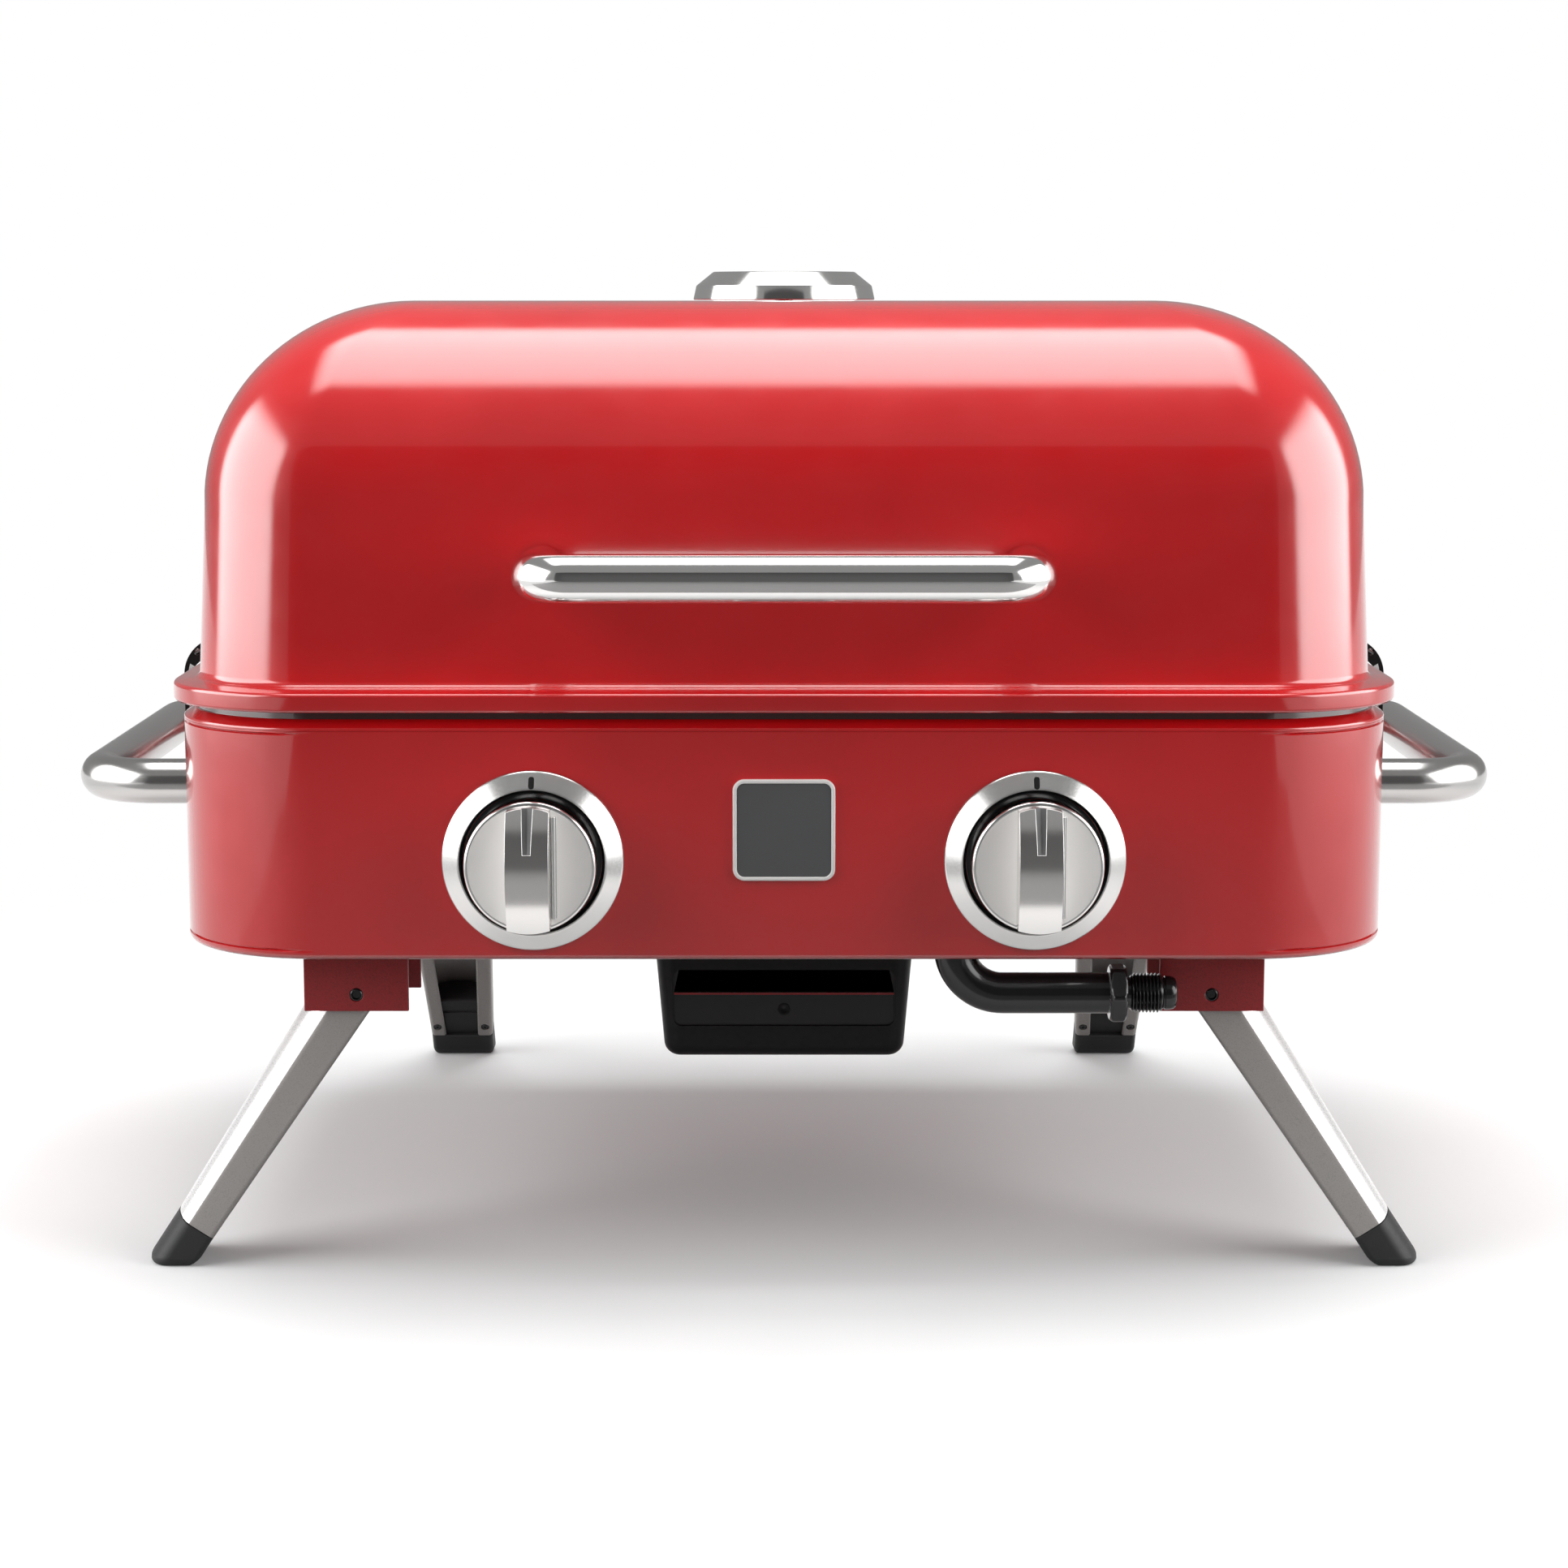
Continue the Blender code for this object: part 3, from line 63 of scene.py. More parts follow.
# Tub and lid
CORNER = 0.062
CORNER_STEPS = 20
SHEET = 0.0012
TUB_EDGE = 0.0025
SEAM = 0.0011
SEAM_DEEP = 0.0016
SEAM_FROM_EDGE = 0.0014
RIM_WIDTH = 0.005
SHOULDER = 0.0042
FLANGE_HEIGHT = 0.0080
FLANGE_SLOPE = 0.0012
FLANGE_FILLET = 0.0030
LID_SETBACK = 0.0077
LID_DRAFT = 0.0033
LID_ROUND = 0.084
LID_WALL = 0.0012
DOME_STEPS = 28

# Camera, matched to the photograph's perspective
LENS = 74.53
CAMERA_TILT = math.radians(81.53)
CAMERA_DISTANCE = 1.313
CAMERA_HEIGHT = 0.410

# Studio
WORLD_LIGHT = 0.30
# Painted shade: the floor near the grill is coloured darker and cyan, deepening its shadow and cancelling the
# red light the grill throws on it.
FLOOR_NEAR_PAINTED_SHADE = (0.80, 0.83, 0.83)
FLOOR_FAR = (0.88, 0.88, 0.88)
FLOOR_BOUNCE = (0.07, 0.07, 0.07)
FLOOR_GLOW = 0.04
FLOOR_PAINTED_SHADE_AT = (0.16, 0.46)
FLOOR_GLOW_AT = (0.38, 0.84)
FLOOR_RADIUS = 6.0
FLAG = (0.22, 0.22, 0.22)

# Shared places, gaps and turns
GAP = 0.0003
DRIP_Y = -0.036
SPLAY = math.radians(33.3)
SHARP = math.radians(42)
BEVEL_ANGLE = math.radians(32)
FACE_FRONT = Matrix.Rotation(math.pi / 2, 4, "X")
FACE_RIGHT = Matrix.Rotation(math.pi / 2, 4, "Y")
HALF_TURN = Matrix.Rotation(math.pi, 4, "Z")


# ---- mesh tools

def mesh_object(name, shape):
    """Links a new object holding a bmesh, which it frees."""
    bmesh.ops.recalc_face_normals(shape, faces=shape.faces)
    mesh = bpy.data.meshes.new(name)
    shape.to_mesh(mesh)
    shape.free()
    thing = bpy.data.objects.new(name, mesh)
    bpy.context.scene.collection.objects.link(thing)
    return thing


def loft(name, rings, closed=False):
    """One solid through rings of equally many points, with its ends capped or joined."""
    shape = bmesh.new()
    rows = [[shape.verts.new(point) for point in ring] for ring in rings]
    pairs = list(zip(rows, rows[1:]))
    if closed:
        pairs.append((rows[-1], rows[0]))
    else:
        shape.faces.new(rows[0])
        shape.faces.new(rows[-1])
    for low, high in pairs:
        for i in range(len(low)):
            j = (i + 1) % len(low)
            shape.faces.new((low[i], low[j], high[j], high[i]))
    return mesh_object(name, shape)


def arc(centre, radius, start, end, steps):
    """Points on an arc in a plane, by angles in degrees."""
    angles = [math.radians(start + (end - start) * i / steps) for i in range(steps + 1)]
    return [(centre[0] + radius * math.cos(a), centre[1] + radius * math.sin(a)) for a in angles]


def rounded(half_x, half_y, radius, z, centre_y=0.0, steps=CORNER_STEPS):
    """The points of a level rounded rectangle."""
    points = []
    for corner, (side_x, side_y) in enumerate(((1, 1), (-1, 1), (-1, -1), (1, -1))):
        centre = ((half_x - radius) * side_x, (half_y - radius) * side_y + centre_y)
        points += [(x, y, z) for x, y in arc(centre, radius, 90 * corner, 90 * corner + 90, steps)]
    return points


def circle(radius, z, steps):
    """The points of a level circle."""
    return [(x, y, z) for x, y in arc((0, 0), radius, 0, 360, steps)[:-1]]


def turned(name, profile, steps=96, closed=False):
    """A turned solid about Z from (radius, height) pairs."""
    return loft(name, [circle(r, z, steps) for r, z in profile], closed)


def prism(name, outline, start, end, axis="Y"):
    """A flat outline extruded from start to end along Y (outline in X, Z), X (in Y, Z) or Z (in X, Y)."""
    place = {
        "Y": lambda a, b, along: (a, along, b),
        "X": lambda a, b, along: (along, a, b),
        "Z": lambda a, b, along: (a, b, along),
    }[axis]
    return loft(name, [[place(a, b, along) for a, b in outline] for along in (start, end)])


def block(name, low, high):
    """A rectangular solid between two corners."""
    outline = [(low[0], low[2]), (high[0], low[2]), (high[0], high[2]), (low[0], high[2])]
    return prism(name, outline, low[1], high[1])


def moved(thing, matrix):
    """Moves an object's points."""
    thing.data.transform(matrix)
    return thing


def shift(place):
    """A matrix that moves things to a place."""
    return Matrix.Translation(place)


def bored(radius, reach, steps, matrix):
    """A round tool for a bore, reaching as far both ways along Z before it is moved."""
    return moved(turned("hole", [(radius, -reach), (radius, reach)], steps), matrix)


def joined(first, *others):
    """Adds the meshes of other objects to the first one."""
    shape = bmesh.new()
    for thing in (first, *others):
        shape.from_mesh(thing.data)
    shape.to_mesh(first.data)
    shape.free()
    for thing in others:
        bpy.data.objects.remove(thing, do_unlink=True)
    return first


def combine(target, tool, operation="DIFFERENCE"):
    """Applies an exact Boolean to the target and removes the tool."""
    modifier = target.modifiers.new(operation, "BOOLEAN")
    modifier.object = tool
    modifier.operation = operation
    modifier.solver = "EXACT"
    graph = bpy.context.evaluated_depsgraph_get()
    target.data = bpy.data.meshes.new_from_object(target.evaluated_get(graph))
    target.modifiers.clear()
    bpy.data.objects.remove(tool, do_unlink=True)
    return target


def bend(corners, radius, steps=12):
    """A path through corners whose inner corners are rounded."""
    corners = [Vector(corner) for corner in corners]
    path = [corners[0]]
    for before, corner, after in zip(corners, corners[1:], corners[2:]):
        back = (before - corner).normalized()
        ahead = (after - corner).normalized()
        half = back.angle(ahead) / 2
        centre = corner + (back + ahead).normalized() * radius / math.sin(half)
        start = corner + back * radius / math.tan(half) - centre
        end = corner + ahead * radius / math.tan(half) - centre
        turn = start.angle(end)
        for i in range(steps + 1):
            weights = math.sin((1 - i / steps) * turn), math.sin(i / steps * turn)
            path.append(centre + (start * weights[0] + end * weights[1]) / math.sin(turn))
    path.append(corners[-1])
    return path


def sweep(name, path, radius, steps=32):
    """A round bar along a path that lies in one plane."""
    path = [Vector(point) for point in path]
    normal = Vector((0, 0, 0))
    for a, b, c in zip(path, path[1:], path[2:]):
        normal += (b - a).cross(c - b)
    normal.normalize()
    rings = []
    for i, point in enumerate(path):
        along = (path[min(i + 1, len(path) - 1)] - path[max(i - 1, 0)]).normalized()
        across = along.cross(normal)
        turns = [math.tau * k / steps for k in range(steps)]
        rings.append([point + (across * math.cos(t) + normal * math.sin(t)) * radius for t in turns])
    return loft(name, rings)


def soften(thing, width):
    """Rounds the sharp edges of an object by a modifier."""
    edge = thing.modifiers.new("edge", "BEVEL")
    edge.width = width
    edge.segments = 2
    edge.limit_method = "ANGLE"
    edge.angle_limit = BEVEL_ANGLE
    return edge


def dress(thing, body, material, slot, *nodes, bevel=0.0):
    """Finishes a piece: its material, soft edges, body and the CAD nodes it stands for. The slot argument is
    not used.
    """
    materials = material if isinstance(material, (list, tuple)) else [material]
    kept = [polygon.material_index for polygon in thing.data.polygons]
    thing.data.materials.clear()
    for one in materials:
        thing.data.materials.append(one)
    if len(materials) > 1:
        thing.data.polygons.foreach_set("material_index", kept)
    thing.data.shade_smooth()
    thing.data.set_sharp_from_angle(angle=SHARP)
    if bevel:
        soften(thing, bevel).harden_normals = True
    weighted = thing.modifiers.new("weighted", "WEIGHTED_NORMAL")
    weighted.keep_sharp = True
    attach(thing, body)
    if nodes:
        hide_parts(*nodes)
    return thing


# ---- materials

def new_material(name):
    """An empty node material and its shader."""
    material = bpy.data.materials.new(name)
    material.use_nodes = True
    return material, material.node_tree, material.node_tree.nodes["Principled BSDF"]


def noise(tree, scale, detail=3.0, stretch=(1, 1, 1)):
    """A noise field in the object's own metres, stretched along its axes."""
    where = tree.nodes.new("ShaderNodeTexCoord")
    mapping = tree.nodes.new("ShaderNodeMapping")
    mapping.inputs["Scale"].default_value = stretch
    field = tree.nodes.new("ShaderNodeTexNoise")
    field.inputs["Scale"].default_value = scale
    field.inputs["Detail"].default_value = detail
    tree.links.new(where.outputs["Object"], mapping.inputs["Vector"])
    tree.links.new(mapping.outputs["Vector"], field.inputs["Vector"])
    return field.outputs["Fac"]


def ranged(tree, value, low, high, start=0.3, end=0.7, curve="LINEAR"):
    """Maps a field from start..end to low..high."""
    node = tree.nodes.new("ShaderNodeMapRange")
    node.interpolation_type = curve
    node.inputs["From Min"].default_value = start
    node.inputs["From Max"].default_value = end
    node.inputs["To Min"].default_value = low
    node.inputs["To Max"].default_value = high
    tree.links.new(value, node.inputs["Value"])
    return node.outputs["Result"]


def mixed(tree, part, low, high):
    """A colour between two, by a field from 0 to 1. Either colour may be a socket."""
    node = tree.nodes.new("ShaderNodeMix")
    node.data_type = "RGBA"
    tree.links.new(part, node.inputs["Factor"])
    for socket, colour in ((node.inputs["A"], low), (node.inputs["B"], high)):
        if isinstance(colour, (tuple, list)):
            socket.default_value = (*colour, 1.0)
        else:
            tree.links.new(colour, socket)
    return node.outputs["Result"]


def relief(tree, shader, height, distance, strength=1.0):
    """Gives the shader a bump from a height field, on top of any it has."""
    node = tree.nodes.new("ShaderNodeBump")
    node.inputs["Distance"].default_value = distance
    node.inputs["Strength"].default_value = strength
    tree.links.new(height, node.inputs["Height"])
    if shader.inputs["Normal"].links:
        tree.links.new(shader.inputs["Normal"].links[0].from_socket, node.inputs["Normal"])
    tree.links.new(node.outputs["Normal"], shader.inputs["Normal"])


def surface(name, colour, roughness, metallic=0.0, drift=0.06, grain=700, stretch=(1, 1, 1), depth=0.00001,
            spread=0.15, speckle=0.0, coat=0.0, specular=0.5):
    """A surface whose colour drifts a little, with a fine grain in its roughness and relief."""
    material, tree, shader = new_material(name)
    shader.inputs["Metallic"].default_value = metallic
    shader.inputs["Specular IOR Level"].default_value = specular
    dark = [c * (1 - drift) for c in colour]
    light = [min(1, c * (1 + drift)) for c in colour]
    tint = mixed(tree, ranged(tree, noise(tree, 14), 0, 1), dark, light)
    fine = noise(tree, grain, 2.0, stretch)
    if speckle:
        tint = mixed(tree, ranged(tree, fine, 0, speckle, 0.5, 0.68), tint, [c * 0.35 for c in colour])
    tree.links.new(tint, shader.inputs["Base Color"])
    rough = ranged(tree, fine, roughness * (1 - spread), roughness * (1 + spread))
    tree.links.new(rough, shader.inputs["Roughness"])
    relief(tree, shader, fine, depth)
    if coat:
        shader.inputs["Coat Weight"].default_value = coat
        shader.inputs["Coat Roughness"].default_value = 0.05
    return material


def enamel(name, colour, peel=0.00003):
    """Glossy vitreous enamel: deep colour under a clear coat that has a faint orange peel."""
    material, tree, shader = new_material(name)
    deep = [c * 0.90 for c in colour]
    bright = [min(1, c * 1.06) for c in colour]
    tree.links.new(mixed(tree, ranged(tree, noise(tree, 9), 0, 1), deep, bright), shader.inputs["Base Color"])
    tree.links.new(ranged(tree, noise(tree, 60, 4), 0.16, 0.24), shader.inputs["Roughness"])
    relief(tree, shader, noise(tree, 150, 1), peel)
    relief(tree, shader, noise(tree, 900, 2), peel / 12)
    shader.inputs["Coat Weight"].default_value = 1.0
    shader.inputs["Coat Roughness"].default_value = 0.06
    shader.inputs["Coat IOR"].default_value = 1.55
    return material


def clear_glass():
    """Thin clear glass for the thermometer."""
    material, tree, shader = new_material("gauge_glass")
    shader.inputs["Base Color"].default_value = (0.95, 0.97, 0.97, 1.0)
    shader.inputs["Transmission Weight"].default_value = 1.0
    shader.inputs["IOR"].default_value = 1.45
    tree.links.new(ranged(tree, noise(tree, 120), 0.01, 0.035), shader.inputs["Roughness"])
    return material


RED = enamel("red_enamel", (0.62, 0.008, 0.011))
RED_MATT = surface("red_textured", (0.32, 0.010, 0.013), 0.42, grain=1500, depth=0.00008, speckle=0.55)
CHROME = surface("polished_steel", (0.80, 0.795, 0.785), 0.10, 1.0, drift=0.02, grain=1100, depth=0.000001)
RING = surface("ring_steel", (0.62, 0.615, 0.605), 0.21, 1.0, drift=0.02, grain=1400, depth=0.000001)
FACE = surface("knob_face", (0.93, 0.91, 0.89), 0.42, 0.10, drift=0.01, grain=2600, depth=0.000001)
BAR = surface("bar_steel", (0.76, 0.75, 0.735), 0.20, 1.0, drift=0.01, grain=2600, depth=0.0000005)
GROOVE = surface("groove_grey", (0.10, 0.10, 0.10), 0.45, 0.3, drift=0.02, grain=2200, depth=0.000002)
LEG = surface("leg_aluminium", (0.29, 0.275, 0.265), 0.46, 0.55, drift=0.03, grain=2200, depth=0.00002,
              speckle=0.25)
# Painted highlight: a light copy of the leg metal for the leg's rounded outer web.
LEG_WEB_PAINTED_HIGHLIGHT = surface("leg_web_painted_highlight", (0.88, 0.875, 0.87), 0.30, 0.6, drift=0.01, grain=2600, depth=0.000002)
HANDLE = surface("handle_steel", (0.54, 0.53, 0.52), 0.18, 1.0, drift=0.02, grain=1400, depth=0.000001)
BLACK = surface("gloss_black", (0.008, 0.008, 0.0085), 0.18, grain=500, depth=0.000006, coat=0.25,
                specular=0.30)
CUP_BLACK = surface("cup_enamel", (0.009, 0.009, 0.0095), 0.34, grain=420, depth=0.00001, speckle=0.3,
                    specular=0.12)
CUP_PANEL = surface("cup_panel", (0.012, 0.012, 0.0125), 0.40, grain=600, depth=0.00001, specular=0.22)
PLASTIC = surface("moulded_black", (0.013, 0.013, 0.0135), 0.50, grain=1500, depth=0.00004, specular=0.3)
IRON = surface("cast_iron", (0.022, 0.022, 0.022), 0.48, 0.1, grain=900, depth=0.0001, drift=0.15)
BRASS = surface("machined_brass", (0.72, 0.50, 0.20), 0.28, 1.0, grain=1200, depth=0.000004)
STEEL = surface("plain_steel", (0.56, 0.55, 0.54), 0.30, 1.0, grain=1300, stretch=(1, 0.05, 1),
                depth=0.000004)
CERAMIC = surface("glazed_ceramic", (0.78, 0.76, 0.71), 0.25, grain=500, depth=0.00001, coat=0.5)
DIAL = surface("dial_face", (0.80, 0.79, 0.75), 0.40, grain=900, depth=0.000003, drift=0.03)
INK = surface("printed_black", (0.02, 0.02, 0.02), 0.45, grain=900, depth=0.000003)
NEEDLE_RED = surface("needle_red", (0.42, 0.012, 0.012), 0.35, grain=900, depth=0.000003)
BADGE_GREY = surface("badge_field", (0.115, 0.117, 0.120), 0.36, 0.35, grain=1800, depth=0.00001, drift=0.04)
# Partly the bowl's own dark enamel, partly painted shade: a dark copy of the red enamel for the neck in the
# shade under the lid.
BOWL_ENAMEL_AND_SHADE = enamel("dark_enamel_and_painted_shade", (0.060, 0.004, 0.005))
GLASS = clear_glass()


# ---- tub

def outline_at(inset, z, corner=CORNER, seam=0.0):
    """The tub's rounded outline, moved in by inset. A seam cuts in round the corners only."""
    points = rounded(HALF_WIDTH - inset, HALF_DEPTH - inset, corner - inset, z, MIDDLE_Y)
    if not seam:
        return points
    steps = CORNER_STEPS
    cut = []
    for i, (x, y, z) in enumerate(points):
        fade = min(1.0, 4 * min(i % (steps + 1), steps - i % (steps + 1)) / steps)
        out = Vector((x, y - MIDDLE_Y)).normalized() * seam * fade
        cut.append((x - out.x, y - out.y, z))
    return cut


def seam_rows(z, rising=True):
    """Three rows that make a fine groove round the corners at a height."""
    half = SEAM / 2
    rows = [outline_at(0, z - half), outline_at(0, z, seam=SEAM_DEEP), outline_at(0, z + half)]
    return rows if rising else rows[::-1]


def tub():
    """The housing: floor, walls with seams by both edges, rolled rim and vents at the back."""
    bottom, top = TUB_LOW.z, TUB_HIGH.z
    edge = TUB_EDGE
    rows = [outline_at(edge - x, bottom + edge + z) for x, z in arc((0, 0), edge, -90, 0, 5)]
    rows += seam_rows(bottom + edge + SEAM_FROM_EDGE)
    brim = 0.0001
    rows += seam_rows(top - brim - SEAM)
    rows += [outline_at(brim - x, top - brim + z) for x, z in arc((0, 0), brim, 0, 90, 3)]
    rows += [
        outline_at(RIM_WIDTH, top),
        outline_at(RIM_WIDTH, top - SHEET),
        outline_at(SHEET, top - SHEET),
        outline_at(SHEET, bottom + edge),
        outline_at(edge, bottom + SHEET),
    ]
    shell = loft("tub", rows)
    reach = 0.01
    stem_hole, pipe_play, drip_hole = 0.0073, 0.0013, 0.024
    vent_pitch, vent_z = 0.0125, 0.188
    pipe_low, pipe_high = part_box("inlet_pipe")
    pipe_r = (pipe_high.y - pipe_low.y) / 2
    pipe_at = (pipe_low.x + pipe_r, pipe_low.y + pipe_r, bottom)
    tools = [bored(stem_hole, reach, 32, shift(at) @ FACE_FRONT) for at in KNOB_AT.values()]
    tools.append(bored(pipe_r + pipe_play, reach, 48, shift(pipe_at)))
    tools.append(bored(drip_hole, reach, 48, shift((0, MIDDLE_Y + DRIP_Y, bottom))))
    for i in range(-7, 8):
        vent = loft("vent", [rounded(0.0022, 0.013, 0.0021, z, steps=4) for z in (-reach, reach)])
        tools.append(moved(vent, shift((i * vent_pitch, TUB_HIGH.y, vent_z)) @ FACE_FRONT))
    combine(shell, joined(*tools))
    dress(shell, "base", RED, "red_enamel", "housing_shell")


def bowl():
    """The bowl: its neck under the lid's flange, dark red as partly painted shade, the ledge for the grates,
    and the sloping floor.
    """
    wall = 0.0012
    neck = 0.0055
    neck_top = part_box("firebox_bowl")[1].z
    ledge_x, ledge_y = HALF_WIDTH - 0.021, HALF_DEPTH - 0.0445
    ledge_top, waist, floor, fall = 0.232, 0.190, 0.166, 0.016
    back, taper, sump = 0.012, 0.018, 0.030

    def ring(half_x, half_y, radius, z, shift=0.0):
        return rounded(half_x, half_y, radius, z, MIDDLE_Y + shift, 16)

    def band(inset, z):
        return ring(HALF_WIDTH - inset, HALF_DEPTH - inset, CORNER - inset, z)

    roll = 0.0009
    rows = [
        ring(sump, sump, sump - wall, floor - fall, DRIP_Y),
        ring(ledge_x - taper, ledge_y - back, 0.036, floor, back),
        ring(ledge_x - taper / 2, ledge_y, 0.038, waist, back),
        ring(ledge_x + wall, ledge_y + wall, 0.042, ledge_top - wall),
        band(neck, ledge_top - wall),
        band(neck, neck_top - roll),
        band(neck + roll * 0.3, neck_top - roll * 0.3),
        band(neck + roll, neck_top),
        band(neck + wall - roll * 0.3, neck_top - roll * 0.3),
        band(neck + wall, neck_top - roll),
        band(neck + wall, ledge_top),
        ring(ledge_x, ledge_y, 0.040, ledge_top),
        ring(ledge_x - taper / 2 - wall, ledge_y - wall, 0.036, waist, back),
        ring(ledge_x - taper - wall, ledge_y - back - wall, 0.034, floor + wall, back),
        ring(sump - wall, sump - wall, sump - 2 * wall, floor - fall + wall, DRIP_Y),
    ]
    shape = loft("bowl", rows)
    drip_hole, burner_hole, igniter_hole = 0.012, 0.0113, 0.0033
    tools = [bored(drip_hole, 0.015, 48, shift((0, MIDDLE_Y + DRIP_Y, floor - fall)))]
    for side in SIDES:
        at = (KNOB_AT[side].x, MIDDLE_Y - ledge_y, KNOB_AT[side].z)
        tools.append(bored(burner_hole, 0.03, 48, shift(at) @ FACE_FRONT))
        low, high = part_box(f"igniter_{side}")
        middle = (low + high) / 2
        tools.append(bored(igniter_hole, 0.015, 24, shift((middle.x, middle.y, floor))))
    combine(shape, joined(*tools))
    # Partly painted shade: the dark red copy of the enamel.
    dress(shape, "base", BOWL_ENAMEL_AND_SHADE, "black_enamel", "firebox_bowl")

    soft = 0.0012
    foot = TUB_HIGH.z + 0.0001
    high = TUB_HIGH.z + GAP + SHOULDER
    rows = [band(neck - 0.0001, foot), band(0, foot)]
    rows += [band(soft - x, foot + 0.0005 + z) for x, z in arc((0, 0), soft, 0, 52, 6)]
    rows += [band(neck - 0.0012, high - 0.0003), band(neck - 0.0007, high), band(neck - 0.0001, high)]
    dress(loft("bowl_shoulder", rows, closed=True), "base", RED, "red_enamel")


# ---- lid

def lid_row(inset, z):
    """The lid's outline at a height. Its corners stay round as the dome draws in."""
    steep = LID_SETBACK + LID_DRAFT
    shrink = min(inset, steep) + 0.45 * max(0, inset - steep)
    reach = LID_REACH - inset
    return rounded(HALF_WIDTH + reach, HALF_DEPTH + reach, CORNER - shrink, z, MIDDLE_Y)


def lid():
    """The lid: a rolled flange, a fillet up to steep walls, and a large rounding to a flat top."""
    bottom, top = LID_LOW.z, LID_HIGH.z
    setback = LID_SETBACK + LID_REACH
    shoulder = setback + LID_DRAFT
    dome_base = top - LID_ROUND
    flange_top = bottom + FLANGE_HEIGHT
    low_bead, top_bead = 0.0014, 0.0017
    fillet = FLANGE_FILLET
    lean = math.degrees(math.atan2(FLANGE_SLOPE, setback - fillet - top_bead))
    wall_low = flange_top + FLANGE_SLOPE + fillet + 0.0006
    thin = LID_ROUND - LID_WALL
    rows = []
    for i in range(DOME_STEPS + 1):
        angle = math.radians(90) * (1 - i / DOME_STEPS)
        inset = shoulder + LID_WALL + thin * (1 - math.cos(angle))
        rows.append(lid_row(inset, dome_base + thin * math.sin(angle)))
    rows += [
        lid_row(setback + LID_WALL, wall_low),
        lid_row(setback + LID_WALL, bottom + 0.003),
        lid_row(setback + LID_WALL - 0.0012, bottom + 0.0006),
        lid_row(setback + LID_WALL - 0.004, bottom),
        lid_row(0.0030, bottom),
    ]
    rows += [lid_row(low_bead - x, bottom + low_bead + z) for x, z in arc((0, 0), low_bead, -80, 0, 6)]
    top_arc = arc((0, 0), top_bead, 0, 90 - lean, 9)
    rows += [lid_row(top_bead - x, flange_top - top_bead + z) for x, z in top_arc]
    rise = flange_top + FLANGE_SLOPE + fillet
    rows += [lid_row(setback - fillet + x, z) for x, z in arc((0, rise), fillet, lean - 90, 0, 8)]
    for i in range(DOME_STEPS + 1):
        angle = math.radians(90) * i / DOME_STEPS
        inset = shoulder + LID_ROUND * (1 - math.cos(angle))
        rows.append(lid_row(inset, dome_base + LID_ROUND * math.sin(angle)))
    shell = loft("lid", rows)
    stem_hole = 0.0043
    combine(shell, bored(stem_hole, 0.01, 24, shift((0, MIDDLE_Y, top))))
    dress(shell, "lid", RED, "red_enamel", "lid_shell")


def lid_handle():
    """The bright bar on the lid's front, and the screw that holds each of its ends from inside."""
    low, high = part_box("lid_handle")
    radius = (high.z - low.z) / 2
    z = (high.z + low.z) / 2
    front = low.y + radius
    x = high.x - radius
    back = high.y - 0.001
    path = bend([(-x, back, z), (-x, front, z), (x, front, z), (x, back, z)], 0.014, 16)
    dress(sweep("lid_bar", path, radius, 40), "lid", CHROME, "chrome_trim", "lid_handle")
    inside = back + 0.0075
    for sign in (-1, 1):
        name = "left" if sign < 0 else "right"
        screw = turned(f"lid_bar_screw_{name}", [
            (0.0085, 0), (0.0085, 0.0012), (0.0060, 0.0013),
            (0.0058, 0.0030), (0.0040, 0.0044), (0.0014, 0.0048),
        ], 32)
        moved(screw, shift((sign * x, inside, z)) @ Matrix.Rotation(-math.pi / 2, 4, "X"))
        dress(screw, "lid", STEEL, "plain_steel")


def number(value):
    """A small raised number for the dial."""
    text = bpy.data.curves.new("number", "FONT")
    text.body = str(value)
    text.size = 0.0052
    text.align_x = "CENTER"
    text.align_y = "CENTER"
    text.extrude = 0.00006
    label = bpy.data.objects.new("number", text)
    bpy.context.scene.collection.objects.link(label)
    graph = bpy.context.evaluated_depsgraph_get()
    mesh = bpy.data.meshes.new_from_object(label.evaluated_get(graph))
    bpy.data.objects.remove(label, do_unlink=True)
    figure = bpy.data.objects.new("number", mesh)
    bpy.context.scene.collection.objects.link(figure)
    return figure


